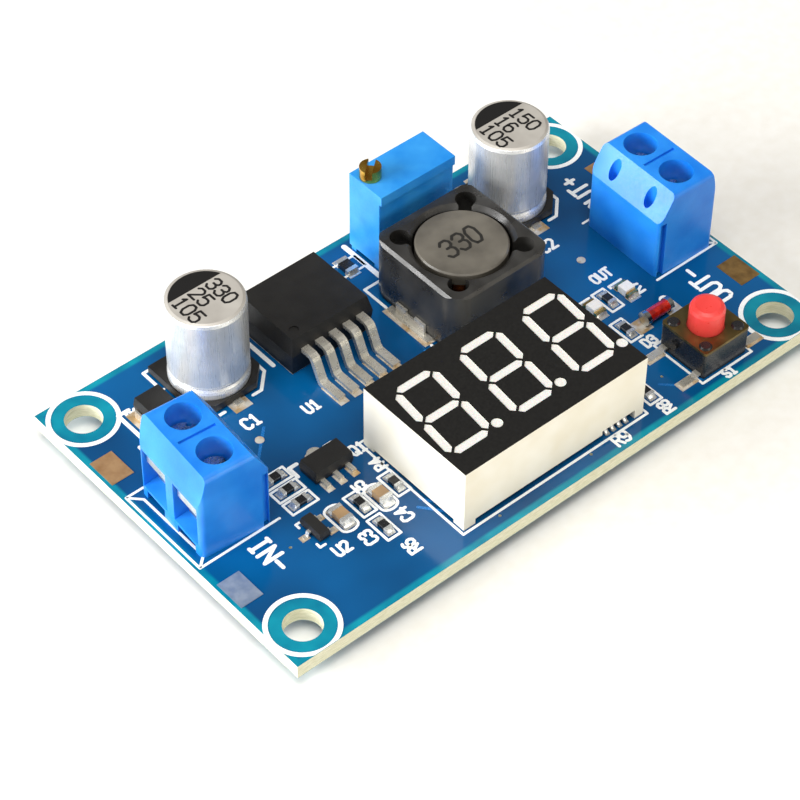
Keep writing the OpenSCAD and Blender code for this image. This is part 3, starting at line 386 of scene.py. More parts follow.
def display_case_plastic():
    """Cream polycarbonate case with a matt black printed face."""
    made, tree = new_material("cream_case_black_face")
    z = height_of(tree)
    face = add(tree, "ShaderNodeMath", {0: z, 1: box_mm("display_case")[1].z - 0.015},
               operation="GREATER_THAN").outputs[0]
    cloud = speckle(tree, 4.0, 2.0)
    cream = ramp(tree, cloud, [(0.3, "#F3EDDA"), (0.7, "#FBF8EC")])
    grain = speckle(tree, 0.2, 2.0)
    black = ramp(tree, grain, [(0.3, "#0B0A09"), (0.7, "#12110F")])
    finish_material(tree, shader(
        tree,
        Base_Color=blend(tree, face, cream, black),
        Roughness=spread(tree, grain, 0.4, 0.5, 0.3, 0.7),
        IOR=1.5,
        Normal=bump(tree, grain, 0.004),
    ))
    return made


def segment_epoxy():
    """Milky grey casting epoxy in the light channels, unlit, with fine scattering grains."""
    made, tree = new_material("milky_segment_epoxy")
    grain = speckle(tree, 0.14, 3.0)
    body = shader(
        tree,
        Base_Color=ramp(tree, grain, [(0.3, "#D6D4D1"), (0.7, "#ECEAE7")]),
        Roughness=0.5,
        IOR=1.5,
        Normal=bump(tree, grain, 0.006),
        Subsurface_Weight=0.15,
        Subsurface_Scale=0.3 * MM,
    )
    finish_material(tree, body)
    return made


def tinted_glass():
    """Red glass sleeve of a small diode, glossy; its brighter red patches are a painted glow, as the diode gives
    no light of its own.
    """
    made, tree = new_material("red_diode_glass")
    cloud = speckle(tree, 0.7, 2.0)
    finish_material(tree, shader(
        tree,
        # red from deep to bright in patches; the bright patches are painted glow
        Base_Color=ramp(tree, cloud, [(0.35, "#A81408"), (0.6, "#E8301C")]),
        Roughness=0.08,
        IOR=1.52,
        Transmission_Weight=0.15,
        Coat_Weight=0.6,
        Coat_Roughness=0.03,
    ))
    return made


def tinned_pad():
    """Hot-air levelled tin on copper: silvery with warm patches where solder has thinned.

    The large wire pads get set colours by where they lie: copper-tan for the back two, dull bluish silver for the
    front left one and brown for the front right one.
    """
    made, tree = new_material("levelled_tin_on_copper")
    split = add(tree, "ShaderNodeSeparateXYZ", {"Vector": place(tree, 1.0)})
    patch = speckle(tree, 1.1, 3.0)
    grain = speckle(tree, 0.35, 3.0)
    small = ramp(tree, patch, [(0.35, "#C9A878"), (0.6, "#EAE4DA")])
    tan = ramp(tree, patch, [(0.3, "#A98058"), (0.7, "#C39C72")])
    silver = ramp(tree, patch, [(0.3, "#7F8FA6"), (0.7, "#A3ADBA")])
    brown = ramp(tree, patch, [(0.3, "#6E5430"), (0.7, "#9A7A48")])
    front = math_node(tree, "LESS_THAN", split.outputs["Y"], 0.0)
    right = math_node(tree, "GREATER_THAN", split.outputs["X"], 0.0)
    wire = math_node(tree, "GREATER_THAN", from_middle(tree)[0], SIZE.x / 2 - 3.2)
    large = blend(tree, front, tan, blend(tree, right, silver, brown))
    finish_material(tree, shader(
        tree,
        Base_Color=blend(tree, wire, small, large),
        Metallic=0.45,
        Roughness=spread(tree, grain, 0.3, 0.42, 0.3, 0.7),
        Normal=bump(tree, grain, 0.003),
    ))
    return made


def dress(nodes, material):
    """Gives a carried-over node its finish."""
    for name in nodes:
        slots = NODES[name].data.materials
        slots.clear()
        slots.append(material)


# ---------------------------------------------------------------- strokes

# Single-stroke glyphs on a 4 by 6 grid; a negative first number lifts the pen.
GLYPHS = {
    "0": [[(1, 0), (0, 1.5), (0, 4.5), (1, 6), (3, 6), (4, 4.5), (4, 1.5), (3, 0), (1, 0)]],
    "1": [[(0.8, 4.8), (2, 6), (2, 0)], [(0.8, 0), (3.2, 0)]],
    "2": [[(0, 5), (1, 6), (3, 6), (4, 5), (4, 4), (0, 0), (4, 0)]],
    "3": [[(0, 5), (1, 6), (3, 6), (4, 5), (4, 4), (3, 3.2), (1.5, 3.2)],
          [(3, 3.2), (4, 2.3), (4, 1), (3, 0), (1, 0), (0, 1)]],
    "4": [[(3, 0), (3, 6), (0, 2), (4, 2)]],
    "5": [[(4, 6), (0.4, 6), (0, 3.3), (1.2, 3.8), (3, 3.8), (4, 2.8), (4, 1), (3, 0), (1, 0), (0, 0.9)]],
    "6": [[(3.6, 5.6), (2.6, 6), (1.2, 6), (0, 4.4), (0, 1.2), (1, 0), (3, 0), (4, 1.1), (4, 2.4),
           (3, 3.5), (1, 3.5), (0, 2.6)]],
    "7": [[(0, 6), (4, 6), (1.5, 0)]],
    "8": [[(1, 3.2), (0, 4.2), (0, 5), (1, 6), (3, 6), (4, 5), (4, 4.2), (3, 3.2), (1, 3.2), (0, 2.2),
           (0, 1), (1, 0), (3, 0), (4, 1), (4, 2.2), (3, 3.2)]],
    "9": [[(4, 3.4), (3, 2.5), (1, 2.5), (0, 3.6), (0, 4.9), (1, 6), (3, 6), (4, 4.8), (4, 1.6),
           (2.8, 0), (1.4, 0), (0.4, 0.4)]],
    "C": [[(4, 1), (3, 0), (1, 0), (0, 1.2), (0, 4.8), (1, 6), (3, 6), (4, 5)]],
    "D": [[(0, 0), (0, 6), (2.4, 6), (4, 4.4), (4, 1.6), (2.4, 0), (0, 0)]],
    "I": [[(2, 0), (2, 6)], [(1, 0), (3, 0)], [(1, 6), (3, 6)]],
    "L": [[(0, 6), (0, 0), (4, 0)]],
    "N": [[(0, 0), (0, 6), (4, 0), (4, 6)]],
    "O": [[(1, 0), (0, 1.2), (0, 4.8), (1, 6), (3, 6), (4, 4.8), (4, 1.2), (3, 0), (1, 0)]],
    "Q": [[(1, 0), (0, 1.2), (0, 4.8), (1, 6), (3, 6), (4, 4.8), (4, 1.2), (3, 0), (1, 0)],
          [(2.4, 1.6), (4.2, -0.4)]],
    "R": [[(0, 0), (0, 6), (3, 6), (4, 5), (4, 4), (3, 3), (0, 3)], [(2, 3), (4, 0)]],
    "S": [[(4, 5), (3, 6), (1, 6), (0, 5), (0, 4), (1, 3.2),
           (3, 2.8), (4, 2), (4, 1), (3, 0), (1, 0), (0, 1)]],
    "T": [[(0, 6), (4, 6)], [(2, 6), (2, 0)]],
    "U": [[(0, 6), (0, 1.2), (1, 0), (3, 0), (4, 1.2), (4, 6)]],
    "V": [[(0, 6), (2, 0), (4, 6)]],
    "+": [[(0.4, 3), (3.6, 3)], [(2, 1.4), (2, 4.6)]],
    "-": [[(0.2, 3), (3.8, 3)]],
}
GRID_TALL = 6
ADVANCE = 5.4


class Strokes:
    """Flat pen strokes, gathered as closed prisms for one printed piece."""

    def __init__(self, base, thick=INK / MM):
        self.base = base
        self.thick = thick
        self.shape = bmesh.new()
        self.bars = 0

    def prism(self, outline, share=1.0):
        """A closed prism over an outline in millimetres, standing on the base.

        Neighbouring bars differ a little in height, so that no two tops lie in one plane.
        """
        self.bars += 1
        top = self.base + self.thick * (share - 0.03 * (self.bars % 7))
        low = [self.shape.verts.new(Vector((x, y, self.base)) * MM) for x, y in outline]
        high = [self.shape.verts.new(Vector((x, y, top)) * MM) for x, y in outline]
        self.shape.faces.new(high)
        self.shape.faces.new(low[::-1])
        for i in range(len(outline)):
            j = (i + 1) % len(outline)
            self.shape.faces.new((low[i], low[j], high[j], high[i]))

    def disc(self, centre, radius, sides=12):
        """A round end, a little lower than the bars that meet on it."""
        self.prism([(centre[0] + radius * math.cos(2 * math.pi * k / sides),
                     centre[1] + radius * math.sin(2 * math.pi * k / sides)) for k in range(sides)],
                   0.75)

    def ring(self, centre, radius, width, sides=64):
        """A flat ring, cut off where it would pass the board's edge."""
        def on_board(r, t):
            x, y = centre[0] + r * math.cos(t), centre[1] + r * math.sin(t)
            return max(-EDGE.x, min(EDGE.x, x)), max(-EDGE.y, min(EDGE.y, y))

        angles = [2 * math.pi * k / sides for k in range(sides + 1)]
        inner, outer = radius - width / 2, radius + width / 2
        for a, b in zip(angles, angles[1:]):
            self.prism([on_board(inner, a), on_board(outer, a), on_board(outer, b), on_board(inner, b)])

    def line(self, points, width):
        """A round-ended pen line through points."""
        for start, end in zip(points, points[1:]):
            along = Vector(end) - Vector(start)
            if along.length < 1e-6:
                continue
            side = Vector((-along.y, along.x)).normalized() * width / 2
            a, b = Vector(start), Vector(end)
            self.prism([a - side, b - side, b + side, a + side])
        for point in points:
            self.disc(point, width / 2)

    def text(self, words, origin, height, width, turn=0, narrow=0.8, lean=0.0):
        """Words along a baseline from origin, turned by degrees."""
        unit = height / GRID_TALL
        c, s = math.cos(math.radians(turn)), math.sin(math.radians(turn))
        for index, letter in enumerate(words):
            for path in GLYPHS.get(letter, []):
                flat = [((x + index * ADVANCE) * unit * narrow + y * unit * lean, y * unit) for x, y in path]
                self.line([(origin[0] + x * c - y * s, origin[1] + x * s + y * c) for x, y in flat], width)

    def finish(self, name, material):
        mesh = bpy.data.meshes.new(name)
        self.shape.to_mesh(mesh)
        self.shape.free()
        piece = bpy.data.objects.new(name, mesh)
        bpy.context.scene.collection.objects.link(piece)
        piece.data.materials.append(material)
        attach(piece, BODY)
        return piece


# ---------------------------------------------------------------- silkscreen

def frame_line(pen, low, high, gap, width, cut=0.0):
    """An outline round a box, with its corners cut by cut."""
    x0, y0, x1, y1 = low.x - gap, low.y - gap, high.x + gap, high.y + gap
    if cut:
        points = [(x0 + cut, y0), (x1 - cut, y0), (x1, y0 + cut), (x1, y1 - cut), (x1 - cut, y1),
                  (x0 + cut, y1), (x0, y1 - cut), (x0, y0 + cut), (x0 + cut, y0)]
    else:
        points = [(x0, y0), (x1, y0), (x1, y1), (x0, y1), (x0, y0)]
    pen.line(points, width)


def print_rings(pen, width):
    """A ring round each mounting hole."""
    for sx in (-1, 1):
        for sy in (-1, 1):
            centre = (sx * MOUNT["spacing_x_mm"] / 2, sy * MOUNT["spacing_y_mm"] / 2)
            pen.ring(centre, 3.33, width)


def print_terminals(pen, width):
    """Footprints of the two terminals, with the wire side marked by a second line."""
    for node, side in (("in_terminal_housing", -1), ("out_terminal_housing", 1)):
        low, high = box_mm(node)
        y0, y1 = low.y - 0.1, high.y + 0.25
        outer = side * (SIZE.x / 2 - 0.4)
        inner = outer - side * 1.15
        back = (high.x if side < 0 else low.x)
        pen.line([(back, y1), (outer, y1), (outer, y0), (back, y0)], width)
        pen.line([(outer, y1), (inner, y1 - 1.2), (inner, y0 + 1.0), (outer, y0)], width)


def print_chip_frames(pen, width):
    """Outlines round the chip resistors and capacitors."""
    for low, high in solids("resistor_bodies"):
        size = high - low
        if max(size.x, size.y) > 2:
            continue
        gap = Vector((1.05, 0.36, 0)) if size.x > size.y else Vector((0.36, 1.05, 0))
        frame_line(pen, low - gap, high + gap, 0, width)
    for low, high in solids("ceramic_capacitor_bodies"):
        centre = middle(low, high)
        half_w, half_l = (high.x - low.x) / 2 + 0.32, 1.15
        x0, x1 = centre.x - half_w, centre.x + half_w
        for sy in (-1, 1):
            arc = [(centre.x + half_w * math.cos(math.pi * k / 8),
                    centre.y + sy * (half_l + 0.62 * math.sin(math.pi * k / 8))) for k in range(9)]
            pen.line(arc, width)
        for x in (x0, x1):
            pen.line([(x, centre.y - half_l), (x, centre.y + half_l)], width)


def print_outlines(pen, width):
    """Marks round the larger parts."""
    for low, high in solids("capacitor_bases"):
        x0, x1, y0, y1 = low.x - 0.35, high.x + 0.35, low.y - 0.35, high.y + 0.35
        cut, gap = 1.8, middle(low, high).x
        for side, x in ((-1, x0), (1, x1)):
            inner = gap + side * 1.7
            pen.line([(inner, y0), (x - side * cut, y0), (x, y0 + cut), (x, y1), (inner, y1)], width * 1.3)
    low, high = box_mm("regulator_body")
    for x in (low.x - 0.45, high.x + 0.45):
        pen.line([(x, low.y + 2.4), (x, high.y - 1.0)], width * 1.8)
    low, high = box_mm("inductor_shield")
    tab_low, tab_high = box_mm("inductor_terminals")
    for x in (low.x - 0.45, high.x + 0.45):
        for y0, y1 in ((low.y - 0.3, tab_low.y - 0.35), (tab_high.y + 0.35, high.y + 0.3)):
            pen.line([(x, y0), (x, y1)], width * 1.2)
    for y in (low.y - 0.35, high.y + 0.35):
        pen.line([(low.x - 0.45, y), (high.x + 0.45, y)], width * 1.2)
    low, high = box_mm("trimmer_case")
    pen.line([(low.x - 0.5, low.y - 0.4), (low.x - 0.5, high.y + 0.3)], width * 2.2)
    pen.line([(high.x + 0.5, low.y - 0.4), (high.x + 0.5, high.y + 0.3)], width)
    low, high = box_mm("display_case")
    frame_line(pen, low, high, 0.32, width)
    low, high = box_mm("switch_cover")
    frame_line(pen, low, high, 0.3, width)
    low, high = box_mm("input_diode_body")
    x0, x1, y0, y1 = low.x - 1.4, high.x + 1.0, low.y - 0.6, high.y + 0.6
    pen.line([(x0 + 1.2, y1), (x0, y1), (x0, y0), (x0 + 1.2, y0)], width * 1.6)
    pen.line([(x0 + 2.6, y1), (x1, y1)], width)
    low, high = box_mm("transistor_body")
    for x, step in ((low.x - 0.55, 0.9), (high.x + 0.1, -0.9)):
        pen.line([(x, high.y - 0.5), (x, high.y + 0.8), (x + step, high.y + 0.8)], width * 1.6)
    low, high = box_mm("supply_chip_body")
    for y, step in ((low.y - 0.3, 0.5), (high.y + 0.3, -0.5)):
        pen.line([(low.x - 0.2, y + step), (low.x - 0.2, y), (low.x + 0.4, y)], width)
    low, high = box_mm("glass_diode_caps")
    pen.line([(high.x + 0.55, low.y - 0.2), (high.x + 0.55, high.y + 0.5)], width * 4)
    for low, high in solids("led_bodies"):
        near, far = high.y + 0.75, high.y + 1.05
        pen.line([(low.x - 0.2, near), (low.x - 0.2, far), (high.x + 0.2, far)], width)


def print_names(pen, width):
    """Pole signs and plain reference numbers, each beside its part."""
    left, right = BOARD_LOW.x, BOARD_HIGH.x
    big, bold = 2.0, width * 1.5
    pen.text("IN-", (left + 5.15, -6.1), big, bold, -90)
    pen.text("IN+", (left + 5.15, 10.2), big, bold, -90)
    pen.text("OUT-", (right - 4.4, -11.6), big, bold, 90)
    pen.text("OUT+", (right - 4.4, 5.9), big, bold, 90)
    for label, origin, height, turn in (
        ("C1", (-18.8, 5.1), 1.35, 0),
        ("C2", (18.6, 4.6), 1.35, 0),
        ("U1", (-13.15, 3.0), 1.2, 0),
        ("Q1", (-13.3, -3.9), 1.2, 0),
        ("R5", (-14.9, -7.9), 1.1, 90),
        ("R4", (-11.8, -6.7), 1.1, 90),
        ("C4", (-13.9, -13.0), 1.2, 90),
        ("C3", (-18.2, -13.0), 1.2, 90),
        ("R6", (-15.9, -16.3), 1.2, 90),
        ("U2", (-22.2, -12.3), 1.2, 0),
        ("R8", (13.6, -18.8), 1.15, 90),
        ("S1", (20.2, -19.2), 1.0, 0),
        ("R9", (6.2, -18.9), 1.3, 0),
        ("D1", (-26.3, 13.2), 1.0, 0),
        ("D3", (17.2, -11.4), 1.1, 0),
        ("OUT", (19.45, -1.85), 1.15, 0),
        ("R7", (22.5, -5.5), 1.2, 90),
    ):
        pen.text(label, origin, height, width * 1.15, turn)


def build_silkscreen():
    settings = bpy.context.scene.module_print
    width = settings.line_width / MM
    pen = Strokes(TOP)
    print_rings(pen, settings.ring_width / MM)
    print_terminals(pen, width)
    print_chip_frames(pen, width)
    print_outlines(pen, width)
    print_names(pen, width)
    pen.finish("silkscreen", silkscreen_ink())


# ---------------------------------------------------------------- tracks

def build_tracks():
    """Copper tracks and pours that stand up a little under the mask."""
    pen = Strokes(TOP, 0.02)
    width = 0.3
    for path in (
        [(-12.2, -11.8), (-11.0, -13.4), (-9.4, -13.9)],
        [(-13.0, -12.4), (-11.4, -14.4), (-9.0, -14.9)],
        [(-1.8, -1.0), (0.4, 0.4), (0.6, 2.2)],
        [(-1.2, -2.4), (1.2, -0.4), (1.4, 2.0)],
        [(-20.5, 1.5), (-17.5, 4.4)],
        [(14.6, -15.6), (16.6, -17.6), (24.0, -17.6)],
    ):
        pen.line(path, width)
    made = moulded_plastic("mask_over_track", "#1479C4", "#0C66AE", roughness=0.25, coat=0.3)
    pen.finish("raised_tracks", made)


# ---------------------------------------------------------------- fillets

def fillet_tree():
    """Geometry Nodes: a concave solder fillet at each point, sized and turned by its attributes."""
    tree = bpy.data.node_groups.new("solder_fillets", "GeometryNodeTree")
    face = tree.interface
    face.new_socket("Geometry", in_out="INPUT", socket_type="NodeSocketGeometry")
    face.new_socket("Reach", in_out="INPUT", socket_type="NodeSocketFloat")
    face.new_socket("Material", in_out="INPUT", socket_type="NodeSocketMaterial")
    face.new_socket("Geometry", in_out="OUTPUT", socket_type="NodeSocketGeometry")
    given = add(tree, "NodeGroupInput")
    block = add(tree, "GeometryNodeMeshCube",
                {"Size": (1, 1, 1), "Vertices X": 8, "Vertices Y": 7, "Vertices Z": 2})
    where = add(tree, "GeometryNodeInputPosition")
    split = add(tree, "ShaderNodeSeparateXYZ", {"Vector": where.outputs[0]})
    along = add(tree, "ShaderNodeMath", {0: split.outputs["X"], 1: 0.5}, operation="ADD").outputs[0]
    rest = add(tree, "ShaderNodeMath", {0: 1.0, 1: along}, operation="SUBTRACT").outputs[0]
    curve = add(tree, "ShaderNodeMath", {0: rest, 1: 2.2}, operation="POWER").outputs[0]
    across = add(tree, "ShaderNodeMath", {0: split.outputs["Y"], 1: 2.0}, operation="MULTIPLY").outputs[0]
    crown = add(tree, "ShaderNodeMath", {0: across, 1: across}, operation="MULTIPLY").outputs[0]
    crown = add(tree, "ShaderNodeMath", {0: crown, 1: -0.45, 2: 1.0}, operation="MULTIPLY_ADD").outputs[0]
    rise = add(tree, "ShaderNodeMath", {0: curve, 1: crown}, operation="MULTIPLY").outputs[0]
    upper = add(tree, "ShaderNodeMath", {0: split.outputs["Z"], 1: 0.0}, operation="GREATER_THAN").outputs[0]
    rise = add(tree, "ShaderNodeMath", {0: rise, 1: upper}, operation="MULTIPLY").outputs[0]
    reach = add(tree, "ShaderNodeMath", {0: along, 1: given.outputs["Reach"]},
                operation="MULTIPLY").outputs[0]
    place_ = add(tree, "ShaderNodeCombineXYZ", {"X": reach, "Y": split.outputs["Y"], "Z": rise})
    wedge = add(tree, "GeometryNodeSetPosition",
                {"Geometry": block.outputs["Mesh"], "Position": place_.outputs[0]})
    turn = add(tree, "GeometryNodeInputNamedAttribute", {"Name": "turn"}, data_type="FLOAT_VECTOR")
    size = add(tree, "GeometryNodeInputNamedAttribute", {"Name": "size"}, data_type="FLOAT_VECTOR")
    spots = add(tree, "GeometryNodeInstanceOnPoints", {
        "Points": given.outputs["Geometry"], "Instance": wedge.outputs["Geometry"],
        "Rotation": turn.outputs[0], "Scale": size.outputs[0]})
    solid = add(tree, "GeometryNodeRealizeInstances", {"Geometry": spots.outputs["Instances"]})
    painted = add(tree, "GeometryNodeSetMaterial",
                  {"Geometry": solid.outputs["Geometry"], "Material": given.outputs["Material"]})
    add(tree, "NodeGroupOutput", {"Geometry": painted.outputs["Geometry"]})
    return tree


def points_piece(name, spots):
    """A mesh of points with a turn and a size each."""
    mesh = bpy.data.meshes.new(name)
    mesh.from_pydata([s[0] for s in spots], [], [])
    for label, index in (("turn", 1), ("size", 2)):
        data = mesh.attributes.new(label, "FLOAT_VECTOR", "POINT").data
        for item, spot in zip(data, spots):
            item.vector = spot[index]
    piece = bpy.data.objects.new(name, mesh)
    bpy.context.scene.collection.objects.link(piece)
    return piece


def baked(piece, tree, values):
    """Runs a Geometry Nodes tree on a piece and keeps the result as a plain mesh."""
    run = piece.modifiers.new("nodes", "NODES")
    run.node_group = tree
    for item in tree.interface.items_tree:
        if item.in_out == "INPUT" and item.name in values:
            run[item.identifier] = values[item.name]
    piece.update_tag()
    graph = bpy.context.evaluated_depsgraph_get()
    mesh = bpy.data.meshes.new_from_object(piece.evaluated_get(graph))
    piece.modifiers.clear()
    piece.data = mesh
    return piece


def build_fillets(material):
    """Solder climbing the metal ends of the chips."""
    seat = box_mm("copper_pads")[1].z
    spots = []
    for bodies, ends, reach in (("resistor_bodies", "resistor_ends", 0.42),
                                ("ceramic_capacitor_bodies", "ceramic_capacitor_ends", 0.5),
                                ("led_bodies", "led_ends", 0.45)):
        cores = [middle(*pair) for pair in solids(bodies)]
        for low, high in solids(ends):
            centre, size = middle(low, high), high - low
            core = min(cores, key=lambda c: (c - centre).length)
            away = centre - core
            along_x = abs(away.x) > abs(away.y)
            if min(size.x, size.y) < 0.32 and max(size.x, size.y) < 0.6:
                along_x = False
            if along_x:
                sign = 1 if away.x > 0 else -1
                start = Vector((high.x if sign > 0 else low.x, centre.y, seat))
                angle, width = (0 if sign > 0 else math.pi), size.y
            else:
                sign = 1 if away.y > 0 else -1
                start = Vector((centre.x, high.y if sign > 0 else low.y, seat))
                angle, width = math.pi / 2 * sign, size.x
            spots.append((start * MM, (0, 0, angle), Vector((reach, width, size.z * 0.85)) * MM))
    piece = points_piece("solder_fillets", spots)
    baked(piece, fillet_tree(), {"Reach": 1.0, "Material": material})
    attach(piece, BODY)


# ---------------------------------------------------------------- pieces

def dress_board():
    dress(["circuit_board"], solder_mask())
    dress(["copper_pads"], tinned_pad())
    solder = plated_metal("reflowed_solder", "#F0F1F0", "#CFD1D0", 0.24, 0.4, 0.002, metallic=0.7)
    dress(["solder_joints", "resistor_ends", "ceramic_capacitor_ends"], solder)
    build_fillets(solder)
    build_tracks()


def dress_terminals():
    settings = bpy.context.scene.module_finishes
    dress(["in_terminal_housing", "out_terminal_housing"], moulded_plastic(
        "blue_polyamide", settings.housing_light, settings.housing_dark,
        0.25, 0.36, 0.006, 4.0, subsurface=0.25))
    dress(["in_clamp_frames", "out_clamp_frames"], plated_metal("tinned_brass", "#D9DBDC", "#B4B7B9", 0.3))
    poles = ["in_plus", "in_minus", "out_plus", "out_minus"]
    dress([p + "_guard" for p in poles],
          plated_metal("rolled_stainless", "#F2F4F4", "#DADDDE", 0.3, 0.4, 0.003, (0.3, 3.0, 3.0)))
    dress([p + "_screw" for p in poles], plated_metal("zinc_plate", "#C9D2DA", "#98A4AE", 0.24, 0.2))


def dress_display():
    dress(["display_case"], display_case_plastic())
    dress(["display_segments"], segment_epoxy())
    dress(["display_led_board"], moulded_plastic("green_laminate", "#1D6B3A", "#155029", roughness=0.35))
    dress(["display_potting"], moulded_plastic("cast_potting", "#D8D2BD", "#C6BFA6", roughness=0.45))


def dress_trimmer():
    dress(["trimmer_case"], moulded_plastic("sky_blue_polyester", "#369EEC", "#1C8AE2", 0.3, 0.4, 0.004, 2.5,
                                            subsurface=0.2))
    dress(["trimmer_base", "trimmer_gear"], moulded_plastic("natural_polyamide", "#F1EFE6", "#DEDBCF"))
    dress(["trimmer_element"], moulded_plastic("alumina_plate", "#F3F3EF", "#E0E0DA", roughness=0.5))
    dress(["trimmer_screw"], plated_metal("turned_brass", "#F0C25A", "#B07E26", 0.22, 0.25, 0.008))


def dress_inductor():
    dress(["inductor_shield"], fired_ferrite("ground_ferrite", "#353432", "#1F1E1D", 0.006, 0.34))
    dress(["inductor_core"], fired_ferrite("pressed_ferrite", "#6F6A60", "#55514A", 0.004, 0.42))
    dress(["inductor_winding"], plated_metal("enamelled_copper", "#B4632C", "#7A3A16", 0.3, 0.3))
    dress(["inductor_base"], moulded_plastic("black_phenolic", "#2A2A2A", "#1C1C1C"))
    low, high = box_mm("inductor_core")
    centre = middle(low, high)
    pen = Strokes(high.z, 0.02)
    pen.text("330", (centre.x - 2.3, centre.y - 1.05), 2.3, 0.3, 0, 0.75, 0.1)
    pen.finish("inductor_number", print_ink("dark_laser_mark", "#1E1C19"))


def dress_capacitors():
    dress(["in_capacitor_can", "out_capacitor_can"], anodised_can())
    dress(["capacitor_bases"],
          moulded_plastic("black_liquid_crystal_polymer", "#262524", "#171615", roughness=0.4))
    dress(["capacitor_seals"], moulded_plastic("butyl_rubber", "#33302D", "#232120", roughness=0.7))
    ink = print_ink("black_pad_print", "#0B0A0A")
    for node, lines in (("in_capacitor_can", ("330", "25", "105")),
                        ("out_capacitor_can", ("150", "16", "105"))):
        low, high = box_mm(node)
        centre, radius = middle(low, high), (high.x - low.x) / 2
        pen = Strokes(high.z, 0.015)
        rim, chord = radius - 0.55, 1.55
        half = math.acos(chord / rim)
        arc = [math.pi / 2 - half + 2 * half * k / 24 for k in range(25)]
        pen.prism([(centre.x + rim * math.cos(a), centre.y + rim * math.sin(a)) for a in arc])
        for row, words in enumerate(lines):
            pen.text(words, (centre.x + 0.95 - row * 1.95, centre.y + 1.25), 1.5, 0.24, -90, 0.88)
        pen.finish(node + "_print", ink)


def dress_regulator():
    dress(["regulator_body", "transistor_body", "supply_chip_body", "controller_body", "input_diode_body"],
          epoxy_body())
    dress(["regulator_tab"], plated_metal("tinned_copper_tab", "#D7D8D6", "#B5B6B2", 0.3))
    tin = plated_metal("matt_tin_lead", "#F6F3EA", "#DAD5C8", 0.28, 0.5, 0.002, metallic=0.75)
    dress(["regulator_leads", "transistor_leads", "supply_chip_leads", "controller_leads", "display_pins",
           "trimmer_pins", "inductor_terminals", "capacitor_leads", "input_diode_terminals", "switch_leads"], tin)


def dress_button():
    settings = bpy.context.scene.module_finishes
    dress(["switch_base"], moulded_plastic("black_polyamide", "#2A2A2C", "#1A1A1C", roughness=0.3))
    # the cover's plated metal is given a brown colour
    dress(["switch_cover"], plated_metal("brown_plated_cover", "#8E7A4C", "#6A5A36", 0.4, 0.4))
    dress(["switch_button"], moulded_plastic("red_button_plastic", settings.button_light,
                                             settings.button_dark, 0.3, 0.33, 0.004, subsurface=0.2))
    dress(["switch_dome"], plated_metal("spring_steel_dome", "#D6D0BC", "#B8B19A", 0.25))


def dress_small_parts():
    dress(["resistor_bodies"],
          moulded_plastic("black_overglaze", "#1E1F22", "#141518", roughness=0.22, coat=0.3))
    dress(["ceramic_capacitor_bodies"],
          moulded_plastic("fired_titanate", "#B8976E", "#8F7558", roughness=0.35))
    dress(["led_bodies"],
          moulded_plastic("white_led_resin", "#FFFFFF", "#F3F1EA", roughness=0.25, subsurface=0.3))
    dress(["led_ends"], plated_metal("gold_flash", "#E2C88A", "#BFA05C", 0.25))
    dress(["glass_diode_body"], tinted_glass())
    dress(["glass_diode_caps"], plated_metal("tinned_dumet", "#D6D8D6", "#A9ABA8", 0.22))


# ---------------------------------------------------------------- stage

def aim(position, azimuth, elevation, roll=0.0):
    """A camera matrix: azimuth 0 looks along +Y, elevation is how far it looks down."""
    a, e = math.radians(azimuth), math.radians(elevation)
    forward = Vector((-math.sin(a) * math.cos(e), math.cos(a) * math.cos(e), -math.sin(e)))
    turn = forward.to_track_quat("-Z", "Y").to_matrix().to_4x4()
    return Matrix.Translation(position) @ turn @ Matrix.Rotation(math.radians(roll), 4, "Z")


def soft_light(name, position, target, size, power, colour):
    lamp = bpy.data.lights.new(name, "AREA")
    lamp.shape = "RECTANGLE"
    lamp.size, lamp.size_y = size
    lamp.energy = power
    lamp.color = linear(colour)[:3]
    holder = bpy.data.objects.new(name, lamp)
    bpy.context.scene.collection.objects.link(holder)
    holder.location = position
    holder.rotation_euler = (Vector(target) - Vector(position)).to_track_quat("-Z", "Y").to_euler()


def build_floor(low):
    """A pale matt paper sweep under the part."""
    made, tree = new_material("pale_paper")
    fibre = speckle(tree, 1.5, 4.0)
    finish_material(tree, shader(
        tree,
        Base_Color=ramp(tree, fibre, [(0.3, "#F3F1EC"), (0.7, "#F8F7F4")]),
        Roughness=0.9,
        Normal=bump(tree, fibre, 0.02),
    ))
    mesh = bpy.data.meshes.new("floor")
    reach = 3.0
    mesh.from_pydata([(-reach, -reach, low), (reach, -reach, low), (reach, reach, low), (-reach, reach, low)],
                     [], [(0, 1, 2, 3)])
    floor = bpy.data.objects.new("floor", mesh)
    floor.data.materials.append(made)
    bpy.context.scene.collection.objects.link(floor)


def build_stage():
    settings = bpy.context.scene.module_stage
    build_floor(CAD_BOX[0][2])
    lens = bpy.data.cameras.new("camera")
    lens.sensor_width = 36
    lens.lens = settings.lens
    lens.shift_x, lens.shift_y = 0.0294, -0.0634
    lens.clip_start, lens.clip_end = 0.01, 10
    camera = bpy.data.objects.new("camera", lens)
    bpy.context.scene.collection.objects.link(camera)
    camera.matrix_world = aim(Vector((-127.36, -140.65, 198.04)) * MM, -40.46, 45.67, 0.04)
    bpy.context.scene.camera = camera
    power = settings.light_power
    soft_light("key", (-0.56, 0.2, 0.19), (0, 0, 0), (0.5, 0.3), power * 1.45, "#FFFFFF")
    soft_light("overhead", (-0.14, -0.12, 0.66), (0, 0, 0), (0.42, 0.42), power * 0.72, "#FFFDF8")
    soft_light("fill", (0.16, -0.6, 0.2), (0, 0, 0), (0.4, 0.3), power * 0.3, "#FFF6E6")
    world = bpy.data.worlds.new("studio")
    world.use_nodes = True
    world.node_tree.nodes["Background"].inputs["Color"].default_value = linear("#FFFCF7")
    world.node_tree.nodes["Background"].inputs["Strength"].default_value = settings.world_light
    bpy.context.scene.world = world
    bpy.context.scene.view_settings.view_transform = "Standard"


# ---------------------------------------------------------------- settings

